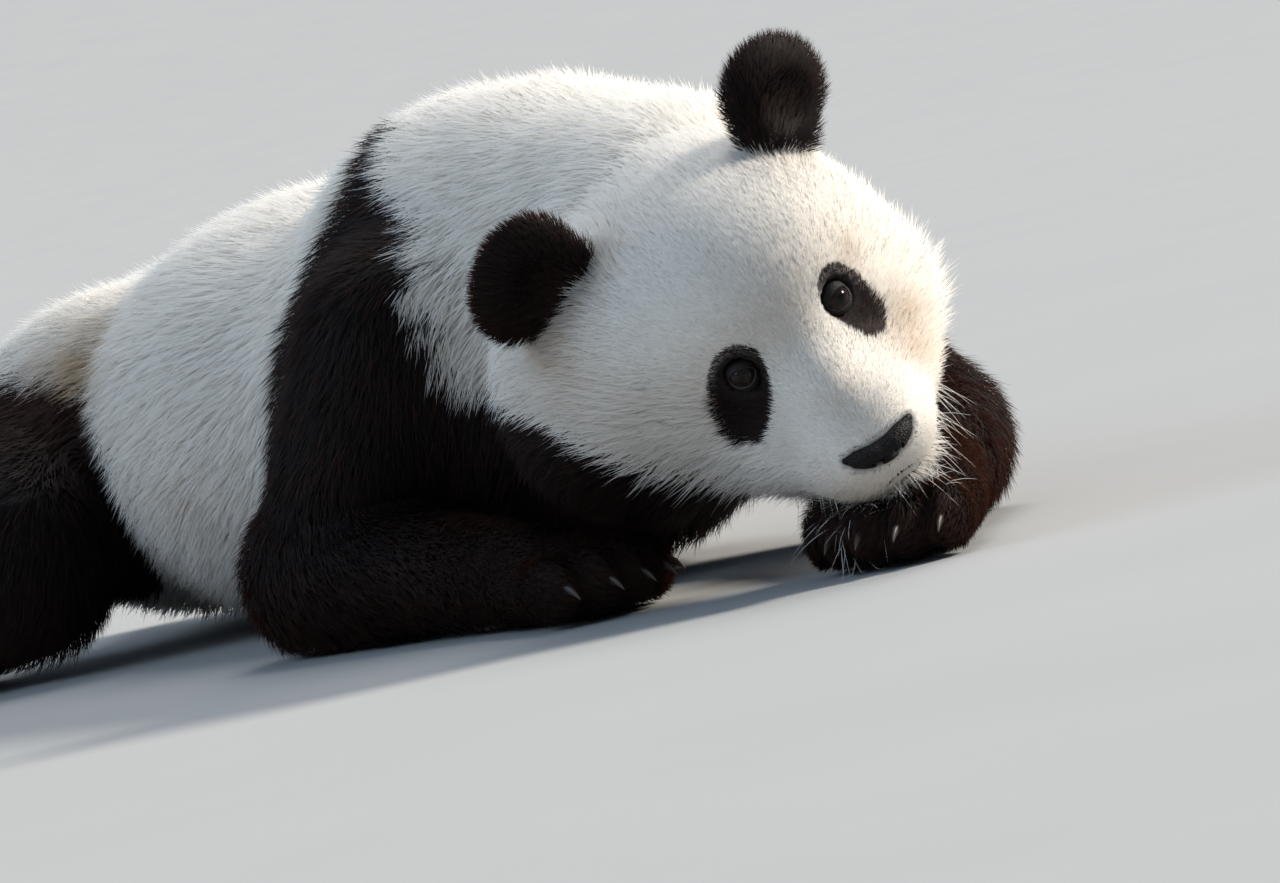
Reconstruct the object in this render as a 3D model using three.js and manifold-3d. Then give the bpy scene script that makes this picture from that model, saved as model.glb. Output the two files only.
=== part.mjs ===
// A giant panda lying on its belly with its chin on its left foreleg, life size, as a still museum model.
// The body is one smooth field of rounded masses. It is meshed once, then parted by thin cuts into head,
// neck, trunk, tail and legs. Surfaces are those of the coat's tips. Units are millimetres, +X points to the
// nose, +Y to the animal's left and +Z up, with the origin on the floor under the middle of the belly.
import * as THREE from "three";
import { mergeVertices } from "three/addons/utils/BufferGeometryUtils.js";
import Module from "manifold-3d";

const wasm = await Module();
wasm.setup();

// ---- Driving dimensions ----
const BACK = 385; // height of the back above the floor
const WITHERS = 458; // height of the shoulder hump
const CHEST_HALF = 232; // half width of the rib cage
const BELLY_HALF = 262; // half width of the belly, spread on the floor
const CHEST_X = 110;
const HIP_X = -455;
const SKULL = [620, -60, 231]; // centre of the skull
const TURN = -14.3; // degrees that the head turns about +Z, negative to its right
const NOD = 26.3; // degrees that the muzzle points down
const TILT = 29.8; // degrees that the head leans onto its right cheek
const EAR_SPACING = 250; // between the middles of the ears
const EYES = { left: [118, 48.5, 25], right: [119, -45.5, 25] }; // in the head's frame
const EYE_RADIUS = 12;
const LIMB_GAP = 0.5; // thin gap between neighbouring solids
const CLAW_LENGTH = 30;

// ---- Small vector helpers ----
const vec = (p) => new THREE.Vector3(...p);
const mix = (a, b, t) => a.map((v, i) => v + (b[i] - v) * t);
const clamp01 = (t) => Math.min(1, Math.max(0, t));
const mirrored = ([x, y, z]) => [x, -y, z];

// ---- The head's own frame: forward along the muzzle, left, up ----
const toRad = THREE.MathUtils.degToRad;
const forward = vec([
  Math.cos(toRad(TURN)) * Math.cos(toRad(NOD)),
  Math.sin(toRad(TURN)) * Math.cos(toRad(NOD)),
  -Math.sin(toRad(NOD)),
]);
const levelLeft = vec([-Math.sin(toRad(TURN)), Math.cos(toRad(TURN)), 0]);
const leftward = levelLeft.clone().applyAxisAngle(forward, toRad(TILT));
const upward = new THREE.Vector3().crossVectors(forward, leftward);
const HEAD_AXES = [forward, leftward, upward].map((v) => v.toArray());
const WORLD_AXES = [[1, 0, 0], [0, 1, 0], [0, 0, 1]];

// A point given in the head's frame, as a point of the part.
function onHead([f, l, u]) {
  return SKULL.map((s, i) => s + f * HEAD_AXES[0][i] + l * HEAD_AXES[1][i] + u * HEAD_AXES[2][i]);
}

// Axes turned by yaw, pitch and roll in degrees, within a parent set of axes.
function turned(yaw, pitch, roll, parent = WORLD_AXES) {
  const euler = new THREE.Euler(toRad(roll), toRad(pitch), toRad(yaw), "ZYX");
  const own = new THREE.Matrix4().makeRotationFromEuler(euler);
  const frame = new THREE.Matrix4().makeBasis(...parent.map(vec)).multiply(own);
  const columns = [new THREE.Vector3(), new THREE.Vector3(), new THREE.Vector3()];
  frame.extractBasis(...columns);
  return columns.map((v) => v.toArray());
}

// ---- Masses: each is a signed distance, negative inside ----
function egg([cx, cy, cz], [ra, rb, rc], [a, b, c] = WORLD_AXES) {
  return (x, y, z) => {
    const [dx, dy, dz] = [x - cx, y - cy, z - cz];
    const p = (dx * a[0] + dy * a[1] + dz * a[2]) / ra;
    const q = (dx * b[0] + dy * b[1] + dz * b[2]) / rb;
    const s = (dx * c[0] + dy * c[1] + dz * c[2]) / rc;
    const share = Math.hypot(p, q, s);
    const slope = Math.hypot(p / ra, q / rb, s / rc);
    return slope < 1e-9 ? -Math.min(ra, rb, rc) : (share * (share - 1)) / slope;
  };
}

function bar(from, to, rFrom, rTo) {
  const along = to.map((v, i) => v - from[i]);
  const length2 = along.reduce((sum, v) => sum + v * v, 0);
  return (x, y, z) => {
    const d = [x - from[0], y - from[1], z - from[2]];
    const t = clamp01((d[0] * along[0] + d[1] * along[1] + d[2] * along[2]) / length2);
    const off = Math.hypot(d[0] - t * along[0], d[1] - t * along[1], d[2] - t * along[2]);
    return off - (rFrom + (rTo - rFrom) * t);
  };
}

// Masses joined with a rounded valley of the given width.
function blend(width, ...masses) {
  return (x, y, z) => {
    let d = 1e9;
    for (const mass of masses) {
      const m = mass(x, y, z);
      const h = Math.max(0, 1 - Math.abs(d - m) / width);
      d = Math.min(d, m) - (h * h * width) / 4;
    }
    return d;
  };
}

const lessOf = (body, hollow) => (x, y, z) => Math.max(body(x, y, z), -hollow(x, y, z));

// ---- Head masses, in the head's frame ----
const headEgg = (at, radii, yaw = 0, pitch = 0) =>
  egg(onHead(at), radii, turned(yaw, pitch, 0, HEAD_AXES));
const bothSides = (make) => [make(1), make(-1)];

const skullField = blend(
  64,
  headEgg([-12, 0, 22], [122, 122, 108]), // cranium
  headEgg([56, 0, 46], [76, 86, 60]), // forehead
  ...bothSides((side) => headEgg([18, side * 74, -42], [94, 60, 78])), // cheeks
  headEgg([-34, -112, 0], [96, 78, 96]), // right cheek's ruff, pushed up by the neck
);
const headField = blend(
  40,
  skullField,
  headEgg([82, 0, -70], [86, 60, 44]), // jaw
  ...bothSides((side) => headEgg([94, side * 46, -64], [66, 42, 42])), // jowls
  headEgg([108, 0, -10], [79, 40, 43]), // bridge of the nose
  headEgg([149, 0, -52], [60, 48, 42]), // muzzle
  ...bothSides((side) => headEgg([179, side * 22, -62], [35, 30, 26])), // upper lips
  headEgg([161, 0, -86], [40, 32, 22]), // chin
);
const NOSE = [214, 1, -45];
const noseField = blend(
  8,
  headEgg(NOSE, [13, 30, 12]),
  ...bothSides((side) => headEgg([NOSE[0] - 5, side * 19 + NOSE[1], NOSE[2] - 4], [12, 13, 11])),
);

// Each ear's middle, the turn of its dish about the head's upright, and the dish's half sizes
const EARS = {
  [-1]: { at: [-28, -EAR_SPACING / 2 - 7, 130], turn: 4, dish: [24, 59, 50] },
  1: { at: [-28, EAR_SPACING / 2 - 8, 122], turn: 24, dish: [24, 55, 48] },
};
// An ear is a thick round dish on the corner of the skull, hollow in front.
function earField(side) {
  const ear = EARS[side];
  const axes = turned(0, 0, -side * 40, turned(ear.turn, 0, 0, HEAD_AXES));
  const at = onHead(ear.at);
  const inEar = ([f, l, u]) => at.map((v, i) => v + f * axes[0][i] + l * axes[1][i] + u * axes[2][i]);
  const dish = egg(at, ear.dish, axes);
  const stalk = egg(inEar([4, 0, -38]), [22, 42, 30], axes);
  const hollow = egg(inEar([27, 0, -6]), [15, 34, 30], axes);
  return lessOf(blend(20, dish, stalk), hollow);
}

// ---- Trunk, neck and the upper legs ----
const FORELEGS = {
  right: {
    shoulder: [215, -168, 245], elbow: [150, -252, 68], wrist: [425, -212, 42], heading: 14,
    shoulderR: 96, elbowR: 72,
  },
  left: {
    shoulder: [245, 168, 240], elbow: [465, 172, 70], wrist: [688, 22, 43], heading: -58,
    shoulderR: 96, elbowR: 72,
  },
};
const HIND_KNEE = [-338, -302, 128];
const HIND_ANKLE = [-510, -330, 60];
const HIND_HEADING = -43; // the hind feet point forwards and out

const upperArm = ({ shoulder, elbow, shoulderR, elbowR }) => bar(shoulder, elbow, shoulderR, elbowR);
const thigh = (flip) => bar(flip([-470, -172, 200]), flip(HIND_KNEE), 116, 88);
const keep = (p) => p;

const trunkField = blend(
  55,
  egg([CHEST_X, 0, BACK - 192], [310, CHEST_HALF, 205]), // rib cage
  egg([130, 0, WITHERS - 130], [195, 160, 128]), // shoulder hump
  egg([-190, 0, BACK - 193], [300, BELLY_HALF, 211]), // belly
  egg([HIP_X, 0, BACK - 205], [235, 232, 182]), // rump
  bar([270, 0, 286], [455, -12, 282], 158, 132), // neck
  egg([470, -120, 180], [110, 95, 110]), // throat ruff, pressed to the right
  upperArm(FORELEGS.right),
  upperArm(FORELEGS.left),
  thigh(keep),
  thigh(mirrored),
  egg([-420, -148, 198], [132, 104, 142]), // right haunch
  egg([-420, 148, 198], [132, 104, 142]), // left haunch
);
const tailField = blend(
  25,
  egg([-672, 0, 190], [62, 52, 60], turned(0, -40, 0)),
  egg([-706, 0, 140], [40, 46, 66], turned(0, -12, 0)),
);
const bodyField = blend(48, trunkField, headField);

// ---- Lower legs ----
// A paw is a low palm with five toes fanned across its front. Its claws start inside the toes.
const TOES = [-2, -1, 0, 1, 2];
function paw([x, y], heading, [length, halfWidth, height]) {
  const axes = turned(heading, 0, 0);
  const place = ([f, l, u]) => [0, 1, 2].map(
    (i) => [x, y, 0][i] + f * axes[0][i] + l * axes[1][i] + u * axes[2][i],
  );
  const toeReach = (n) => length * (0.74 - 0.045 * n * n);
  const toeAt = (n, f, u) => place([f, n * halfWidth * 0.4, u]);
  const toes = TOES.map((n) =>
    egg(toeAt(n, toeReach(n), height * 0.42), [length * 0.2, halfWidth * 0.23, height * 0.4], axes),
  );
  const palm = egg(place([length * 0.32, 0, height * 0.46]), [length * 0.5, halfWidth * 0.92, height * 0.52], axes);
  const claws = TOES.map((n) => ({
    at: toeAt(n, toeReach(n) + length * 0.2, height * 0.4), heading: heading + n * 4,
  }));
  return { palm, toes, claws, middle: place([length * 0.5, 0, height * 0.4]) };
}

function foreleg({ elbow, elbowR, wrist, heading }) {
  const hand = paw(wrist, heading, [150, 70, 76]);
  return {
    claws: hand.claws, handMiddle: hand.middle, limbMiddle: mix(elbow, wrist, 0.5),
    limb: blend(26, bar(elbow, wrist, elbowR, 46), bar(elbow, mix(elbow, wrist, 0.35), elbowR, 62)),
    hand: blend(24, hand.palm, ...hand.toes),
  };
}

function hindleg(flip) {
  const [knee, ankle] = [flip([-356, -306, 88]), flip(HIND_ANKLE)];
  const heading = Math.sign(ankle[1]) * -HIND_HEADING;
  const foot = paw(ankle, heading, [205, 62, 82]);
  const heel = egg([ankle[0], ankle[1], 46], [52, 48, 50]);
  return {
    claws: foot.claws, handMiddle: foot.middle, limbMiddle: mix(knee, ankle, 0.5),
    limb: bar(knee, ankle, 80, 52),
    hand: blend(30, foot.palm, heel, ...foot.toes),
  };
}

// ---- Meshing a field on a grid whose lines may lie closer in one stretch than another ----
// Grid lines from the first stop to the last, each stretch at its own spacing.
function ladder(...stops) {
  const lines = [stops[0][0]];
  stops.slice(0, -1).forEach(([start, step], n) => {
    const span = stops[n + 1][0] - start;
    const count = Math.max(1, Math.round(span / step));
    for (let i = 1; i <= count; i++) lines.push(start + (span * i) / count);
  });
  return lines;
}

const CORNERS = [[0, 0, 0], [1, 0, 0], [0, 1, 0], [1, 1, 0], [0, 0, 1], [1, 0, 1], [0, 1, 1], [1, 1, 1]];
const EDGES = CORNERS.flatMap((a, i) =>
  CORNERS.map((b, j) => [i, j]).filter(([, j]) => j > i && CORNERS[j].filter((v, k) => v !== a[k]).length === 1),
);

// A point near the surface moved onto it, down the field's slope.
const PROBE = 0.5;
const MOST_MOVE = 9;
function settled(field, [x, y, z]) {
  const here = field(x, y, z);
  const slope = [field(x + PROBE, y, z), field(x, y + PROBE, z), field(x, y, z + PROBE)];
  const [gx, gy, gz] = slope.map((v) => (v - here) / PROBE);
  const steep = Math.max(0.3, gx * gx + gy * gy + gz * gz);
  const move = Math.max(-MOST_MOVE, Math.min(MOST_MOVE, here / steep));
  return [x - gx * move, y - gy * move, z - gz * move];
}

// Each cell that the surface crosses gets one vertex, near the mean of its edge crossings.
function skinOf(field, lines) {
  const n = lines.map((l) => l.length);
  const index = (i, j, k) => i + n[0] * (j + n[1] * k);
  const value = new Float64Array(n[0] * n[1] * n[2]);
  for (let k = 0; k < n[2]; k++)
    for (let j = 0; j < n[1]; j++)
      for (let i = 0; i < n[0]; i++) value[index(i, j, k)] = field(lines[0][i], lines[1][j], lines[2][k]);
  fillCrossedFaces(value, n, index);
  const vertexOf = new Int32Array(value.length).fill(-1);
  const places = [];
  for (let k = 0; k < n[2] - 1; k++)
    for (let j = 0; j < n[1] - 1; j++)
      for (let i = 0; i < n[0] - 1; i++) {
        const at = CORNERS.map(([a, b, c]) => value[index(i + a, j + b, k + c)]);
        const crossed = EDGES.filter(([a, b]) => at[a] < 0 !== at[b] < 0);
        if (!crossed.length) continue;
        const sum = [0, 0, 0];
        for (const [a, b] of crossed) {
          const t = at[a] / (at[a] - at[b]);
          const corner = (m, axis) => lines[axis][[i, j, k][axis] + CORNERS[m][axis]];
          for (const axis of [0, 1, 2])
            sum[axis] += corner(a, axis) + t * (corner(b, axis) - corner(a, axis));
        }
        vertexOf[index(i, j, k)] = places.length / 3;
        places.push(...settled(field, sum.map((v) => v / crossed.length)));
      }
  const faces = [];
  const around = [[[0, 1, 0], [0, 0, 1]], [[0, 0, 1], [1, 0, 0]], [[1, 0, 0], [0, 1, 0]]];
  for (let k = 0; k < n[2] - 1; k++)
    for (let j = 0; j < n[1] - 1; j++)
      for (let i = 0; i < n[0] - 1; i++)
        around.forEach(([p, q], axis) => {
          const step = [0, 0, 0];
          step[axis] = 1;
          const inside = value[index(i, j, k)] < 0;
          if (inside === value[index(i + step[0], j + step[1], k + step[2])] < 0) return;
          const cell = (a, b) =>
            vertexOf[index(i - a * p[0] - b * q[0], j - a * p[1] - b * q[1], k - a * p[2] - b * q[2])];
          const ring = [cell(1, 1), cell(0, 1), cell(0, 0), cell(1, 0)];
          if (!inside) ring.reverse();
          faces.push(...asTriangles(ring, places));
        });
  const geometry = new THREE.BufferGeometry();
  geometry.setAttribute("position", new THREE.Float32BufferAttribute(places, 3));
  geometry.setIndex(faces);
  return geometry;
}

const FILLED = 2; // depth given to a filled corner
// Cell faces with two opposite corners inside would pinch the surface, so the nearer outside corner is filled.
function fillCrossedFaces(value, n, index) {
  const planes = [[[1, 0, 0], [0, 1, 0]], [[0, 1, 0], [0, 0, 1]], [[0, 0, 1], [1, 0, 0]]];
  for (let pass = 0; pass < 6; pass++)
    for (let k = 0; k < n[2] - 1; k++)
      for (let j = 0; j < n[1] - 1; j++)
        for (let i = 0; i < n[0] - 1; i++)
          for (const [p, q] of planes) {
            const ring = [[0, 0], [1, 0], [1, 1], [0, 1]].map(([a, b]) =>
              index(i + a * p[0] + b * q[0], j + a * p[1] + b * q[1], k + a * p[2] + b * q[2]),
            );
            const inside = ring.map((m) => value[m] < 0);
            if (inside[0] !== inside[2] || inside[1] !== inside[3] || inside[0] === inside[1]) continue;
            const outer = ring.filter((m) => value[m] >= 0).sort((a, b) => value[a] - value[b])[0];
            value[outer] = -FILLED;
          }
}

// A quad as two triangles along its shorter diagonal.
function asTriangles([a, b, c, d], places) {
  const gap = (m, o) => Math.hypot(...[0, 1, 2].map((i) => places[3 * m + i] - places[3 * o + i]));
  return gap(a, c) < gap(b, d) ? [a, b, c, a, c, d] : [a, b, d, b, c, d];
}

// A geometry as positions alone, each held once.
function sealed(geometry) {
  const bare = geometry.clone();
  bare.deleteAttribute("normal");
  bare.deleteAttribute("uv");
  return mergeVertices(bare, 1e-4);
}

// The same closed surface moved outwards along its vertex normals.
function grown(geometry, distance) {
  const copy = sealed(geometry);
  copy.computeVertexNormals();
  const { position, normal } = copy.attributes;
  for (let i = 0; i < position.count; i++)
    position.setXYZ(
      i,
      position.getX(i) + distance * normal.getX(i),
      position.getY(i) + distance * normal.getY(i),
      position.getZ(i) + distance * normal.getZ(i),
    );
  return copy;
}

// ---- Between three.js geometry and solids that can be cut ----
function solid(geometry) {
  const merged = sealed(geometry);
  return new wasm.Manifold(
    new wasm.Mesh({
      numProp: 3,
      vertProperties: new Float32Array(merged.attributes.position.array),
      triVerts: new Uint32Array(merged.index.array),
    }),
  );
}

// The largest closed body of a cut, as geometry: a cut may leave crumbs beside it.
function geometryOf(cut) {
  const largest = cut.decompose().sort((a, b) => b.volume() - a.volume())[0];
  const { vertProperties, triVerts, numProp } = largest.getMesh();
  const geometry = new THREE.BufferGeometry();
  const places = new THREE.InterleavedBuffer(vertProperties, numProp);
  geometry.setAttribute("position", new THREE.InterleavedBufferAttribute(places, 3, 0));
  geometry.setIndex([...triVerts]);
  return geometry.toNonIndexed();
}

const REACH = 1500; // a cutting box reaches past the whole animal
function slab(low, high) {
  const size = high.map((v, i) => v - low[i]);
  const box = new THREE.BoxGeometry(...size);
  box.translate(...mix(low, high, 0.5));
  return solid(box);
}

function eggCutter(at, radii, axes, extra = 0) {
  const ball = new THREE.SphereGeometry(1, 12, 6);
  const frame = new THREE.Matrix4().makeBasis(...axes.map(vec)).setPosition(vec(at));
  ball.scale(...radii.map((r) => r + extra)).applyMatrix4(frame);
  return solid(ball);
}

// Everything on the far side of a plane through a point, starting a little way off it.
function beyond(point, direction, offset) {
  const box = new THREE.BoxGeometry(REACH, 2 * REACH, 2 * REACH);
  box.translate(REACH / 2 + offset, 0, 0);
  const turn = new THREE.Quaternion().setFromUnitVectors(vec([1, 0, 0]), vec(direction).normalize());
  box.applyQuaternion(turn).translate(...point);
  return solid(box);
}

const aboveFloor = slab([-REACH, -REACH, 0], [REACH, REACH, REACH]);

// ---- Materials ----
const finish = (color, roughness) => new THREE.MeshStandardMaterial({ color, roughness, metalness: 0 });
const WHITE_FUR = finish(0xe9e4da, 0.9);
const BLACK_FUR = finish(0x1b1718, 0.85);
const NOSE_SKIN = finish(0x141214, 0.35);
const EYE_GLASS = finish(0x0d0b0c, 0.08);
const CLAW_HORN = finish(0x4b443c, 0.45);

const panda = new THREE.Group();
function add(name, cut, material) {
  const mesh = new THREE.Mesh(geometryOf(cut), material);
  mesh.name = name;
  panda.add(mesh);
}

// ---- Grids: lines lie closer where the form is finer ----
const BODY_GRID = [
  ladder([-910, 94], [430, 44], [900, 44]),
  ladder([-520, 86], [-212, 44], [112, 86], [500, 86]),
  ladder([-70, 62], [80, 44], [360, 62], [560, 62]),
];
const boxGrid = (low, high, step) => low.map((v, i) => ladder([v, step], [high[i], step]));
const cubeGrid = (middle, half, step) =>
  boxGrid(middle.map((v) => v - half), middle.map((v) => v + half), step);
const LIMB_STEP = 52;
const PAW_STEP = 28;
const EAR_STEP = 20;
const NOSE_STEP = 9;
const TAIL_STEP = 34;

// ---- The whole body, and what stands out of it cut to its surface ----
const SIDES = { left: 1, right: -1 };
const bodySkin = skinOf(bodyField, BODY_GRID);
const bodyRoom = solid(grown(bodySkin, LIMB_GAP));
let body = solid(bodySkin).intersect(aboveFloor);
const outOfBody = (field, grid) => solid(skinOf(field, grid)).subtract(bodyRoom).intersect(aboveFloor);

// Ears, nose, tail and eyes
for (const [word, side] of Object.entries(SIDES)) {
  const grid = cubeGrid(onHead(EARS[side].at), 110, EAR_STEP);
  add(`ear_${word}`, outOfBody(earField(side), grid), BLACK_FUR);
}
add("nose", outOfBody(noseField, cubeGrid(onHead(NOSE), 50, NOSE_STEP)), NOSE_SKIN);
add("tail", outOfBody(tailField, cubeGrid([-680, 0, 160], 150, TAIL_STEP)), WHITE_FUR);
for (const [word, side] of Object.entries(SIDES)) {
  const at = onHead(EYES[word]);
  const ball = new THREE.SphereGeometry(EYE_RADIUS, 9, 6).translate(...at);
  const opening = mix(at, onHead([160, side * 72, 40]), 0.3);
  body = body.subtract(solid(grown(ball, LIMB_GAP)));
  body = body.subtract(eggCutter(opening, [14, 11, 9], HEAD_AXES));
  add(`eye_${word}`, solid(ball), EYE_GLASS);
}

// A curved claw, its root inside the toe and its tip turned down.
function claw({ at, heading }) {
  const cone = new THREE.ConeGeometry(5.2, CLAW_LENGTH, 5, 2);
  const { position } = cone.attributes;
  for (let i = 0; i < position.count; i++) {
    const share = position.getY(i) / CLAW_LENGTH + 0.5;
    position.setX(i, position.getX(i) + 7 * share * share);
  }
  cone.rotateZ(-Math.PI / 2);
  return cone.rotateZ(toRad(heading)).translate(...at);
}

// A lower leg, with its paw set apart on a finer grid, and the claws that stand out of the paw.
function addLeg(word, [limbName, handName, clawName], leg) {
  const hand = skinOf(leg.hand, cubeGrid(leg.handMiddle, 200, PAW_STEP));
  const handRoom = solid(grown(hand, LIMB_GAP));
  const limb = outOfBody(leg.limb, cubeGrid(leg.limbMiddle, 290, LIMB_STEP));
  add(`${limbName}_${word}`, limb.subtract(handRoom), BLACK_FUR);
  add(`${handName}_${word}`, solid(hand).subtract(bodyRoom).intersect(aboveFloor), BLACK_FUR);
  leg.claws.forEach((place, n) => {
    const nail = solid(claw(place)).subtract(handRoom).subtract(bodyRoom).intersect(aboveFloor);
    add(`${clawName}_${word}_${n + 1}`, nail, CLAW_HORN);
  });
}
addLeg("right", ["forearm", "forepaw", "fore_claw"], foreleg(FORELEGS.right));
addLeg("left", ["forearm", "forepaw", "fore_claw"], foreleg(FORELEGS.left));
addLeg("right", ["shank", "hind_foot", "hind_claw"], hindleg(keep));
addLeg("left", ["shank", "hind_foot", "hind_claw"], hindleg(mirrored));

// ---- Parting the body ----
// Takes what lies in a cutter off the body, with a gap to the rest.
function takeOff(name, cutter, widerCutter, material) {
  add(name, body.intersect(cutter), material);
  body = body.subtract(widerCutter);
}
const eggOff = (name, at, radii, axes, material) =>
  takeOff(name, eggCutter(at, radii, axes), eggCutter(at, radii, axes, LIMB_GAP), material);
const planeOff = (name, point, direction, material) =>
  takeOff(name, beyond(point, direction, LIMB_GAP), beyond(point, direction, 0), material);

const jawAxes = turned(0, 10, 0, HEAD_AXES);
eggOff("lower_jaw", onHead([118, 0, -122]), [112, 62, 44], jawAxes, WHITE_FUR);
eggOff("muzzle", onHead([192, 0, -42]), [72, 84, 66], HEAD_AXES, WHITE_FUR);
planeOff("head", onHead([-92, 0, 0]), HEAD_AXES[0], WHITE_FUR);
for (const [word, { shoulder, elbow }] of Object.entries(FORELEGS)) {
  const out = word === "left" ? 1 : -1;
  const middle = mix(shoulder, elbow, 0.5);
  const axes = turned(0, THREE.MathUtils.radToDeg(Math.atan2(shoulder[2] - elbow[2], elbow[0] - shoulder[0])), 0);
  const reach = Math.hypot(...shoulder.map((v, i) => v - elbow[i])) / 2 + 88;
  const at = [middle[0], middle[1] + out * 45, middle[2]];
  eggOff(`upper_arm_${word}`, at, [reach, 92, 112], axes, BLACK_FUR);
}
for (const [word, side] of Object.entries(SIDES)) {
  eggOff(`thigh_${word}`, [-300, side * 290, 142], [215, 122, 150], turned(-side * 16, 10, 0), BLACK_FUR);
}
planeOff("neck", [302, 0, 250], [1, 0, 0.75], WHITE_FUR);
planeOff("chest", [22, 0, 206], [1, 0, -0.36], BLACK_FUR);
planeOff("abdomen", [-300, 0, 200], [1, 0, 0], WHITE_FUR);
add("rump", body, WHITE_FUR);

export default panda;
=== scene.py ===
# %% [markdown]
# # A giant panda lying with its chin on its foreleg
#
# A museum's life-size panda is made in three layers: a sculpted body, a skin stretched over it, and
# the coat. This script follows the same order. The body is a mathematical field of rounded masses,
# the skin is the surface of that field sunk by the depth of the coat, and the coat is some hundreds of
# thousands of thin mesh tufts that grow out of the skin and lie the way a panda's hair lies.
#
# The CAD frame is loaded first. Its nodes give the outline out to the tips of the coat, and every
# piece made here has to stay inside it.

import bpy
import numpy as np
from mathutils import Matrix, Vector


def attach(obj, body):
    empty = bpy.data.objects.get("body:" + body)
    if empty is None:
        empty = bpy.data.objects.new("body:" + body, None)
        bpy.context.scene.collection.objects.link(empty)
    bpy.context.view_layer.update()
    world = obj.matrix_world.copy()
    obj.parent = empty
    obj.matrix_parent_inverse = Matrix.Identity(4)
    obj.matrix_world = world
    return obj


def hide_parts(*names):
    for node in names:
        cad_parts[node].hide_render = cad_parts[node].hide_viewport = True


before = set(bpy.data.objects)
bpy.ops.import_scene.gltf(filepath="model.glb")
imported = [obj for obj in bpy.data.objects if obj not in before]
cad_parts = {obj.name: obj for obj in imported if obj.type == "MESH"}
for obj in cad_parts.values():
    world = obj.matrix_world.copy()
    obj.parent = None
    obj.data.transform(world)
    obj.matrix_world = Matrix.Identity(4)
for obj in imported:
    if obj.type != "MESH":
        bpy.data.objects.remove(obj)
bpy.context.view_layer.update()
MM = 0.001  # the shapes are worked out in millimetres, and meshes are made in metres
BODY = "root"

# %% [markdown]
# ## Directions
#
# A panda's head is easier to think about in its own frame: forward along the muzzle, left, and up.
# The head is turned, nods down and leans onto its right cheek, and three angles say so. Everything on
# the head is then placed in that frame.

# %% The head's frame
WORLD_AXES = np.eye(3)
SKULL = np.array([620.0, -60.0, 231.0])
TURN, NOD, TILT = np.radians([-14.3, 26.3, 29.8])


def head_axes():
    """Forward is +X turned by TURN and dipped by NOD. Left and up are then rolled about it by TILT."""
    forward = np.array([np.cos(TURN) * np.cos(NOD), np.sin(TURN) * np.cos(NOD), -np.sin(NOD)])
    level_left = np.array([-np.sin(TURN), np.cos(TURN), 0.0])
    level_up = np.cross(forward, level_left)
    left = level_left * np.cos(TILT) + level_up * np.sin(TILT)
    return np.array([forward, left, np.cross(forward, left)])


HEAD_AXES = head_axes()


def on_head(local):
    """Head coordinates (forward, left, up) to body coordinates: skull + local . axes."""
    return SKULL + np.asarray(local, float) @ HEAD_AXES


def in_head(points):
    """Body coordinates to head coordinates: (point - skull) . each axis."""
    return (points - SKULL) @ HEAD_AXES.T


def turned(yaw, pitch, roll, parent=WORLD_AXES):
    """Three axes turned by yaw about up, then pitch about left, then roll about forward, in degrees."""
    y, p, r = np.radians([yaw, pitch, roll])
    about_up = np.array([[np.cos(y), -np.sin(y), 0], [np.sin(y), np.cos(y), 0], [0, 0, 1]])
    about_left = np.array([[np.cos(p), 0, np.sin(p)], [0, 1, 0], [-np.sin(p), 0, np.cos(p)]])
    about_forward = np.array([[1, 0, 0], [0, np.cos(r), -np.sin(r)], [0, np.sin(r), np.cos(r)]])
    return (about_up @ about_left @ about_forward).T @ parent


# %% [markdown]
# ## The masses
#
# A sculptor builds up a bear from balls and rolls of clay and smooths the joins. A signed distance
# field does the same with arithmetic: each mass says how far a point is outside it, and a smooth
# minimum rounds the valley between two masses. It could be done with metaballs or with a voxel
# remesh of real meshes, but a field also answers later questions, such as which way is out, how deep
# the coat is and which limb a hair belongs to.

# %% Ways to write a mass
def along_axes(x, y, z, at, axes):
    """How far (x, y, z) lies from a point along each axis, for coordinates of any shape."""
    dx, dy, dz = x - at[0], y - at[1], z - at[2]
    return [dx * a[0] + dy * a[1] + dz * a[2] for a in axes]


def egg(at, radii, axes=WORLD_AXES):
    """An ellipsoid: with s the length of the offset over the radii, about s (s - 1) / slope of s."""
    radii = np.asarray(radii, float)

    def distance(x, y, z):
        parts = [part / r for part, r in zip(along_axes(x, y, z, at, axes), radii)]
        share = np.sqrt(sum(p * p for p in parts))
        slope = np.sqrt(sum((p / r) ** 2 for p, r in zip(parts, radii)))
        return share * (share - 1) / np.maximum(slope, 1e-6)

    return distance


def bar(start, end, start_radius, end_radius):
    """A tapered roll: the distance to the nearest point of a line, less the radius there."""
    start, along = np.asarray(start, float), np.subtract(end, start)

    def distance(x, y, z):
        dx, dy, dz = x - start[0], y - start[1], z - start[2]
        t = np.clip((dx * along[0] + dy * along[1] + dz * along[2]) / (along @ along), 0, 1)
        off = (dx - t * along[0]) ** 2 + (dy - t * along[1]) ** 2 + (dz - t * along[2]) ** 2
        return np.sqrt(off) - (start_radius + (end_radius - start_radius) * t)

    return distance


def joined(first, second, width):
    """The smaller value, less a quarter of the width where the two are equal: it rounds the valley."""
    h = np.maximum(0, 1 - np.abs(first - second) / width)
    return np.minimum(first, second) - h * h * width / 4


def blend(width, *masses):
    """One field from several masses, joined one after another."""

    def distance(x, y, z):
        total = masses[0](x, y, z)
        for mass in masses[1:]:
            total = joined(total, mass(x, y, z), width)
        return total

    return distance


def at_points(field, points):
    """A field's value at each row of an array of points."""
    return field(points[:, 0], points[:, 1], points[:, 2])


def nearest_of(fields, points):
    """The least of several fields at each point."""
    return np.minimum.reduce([at_points(field, points) for field in fields])


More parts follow.
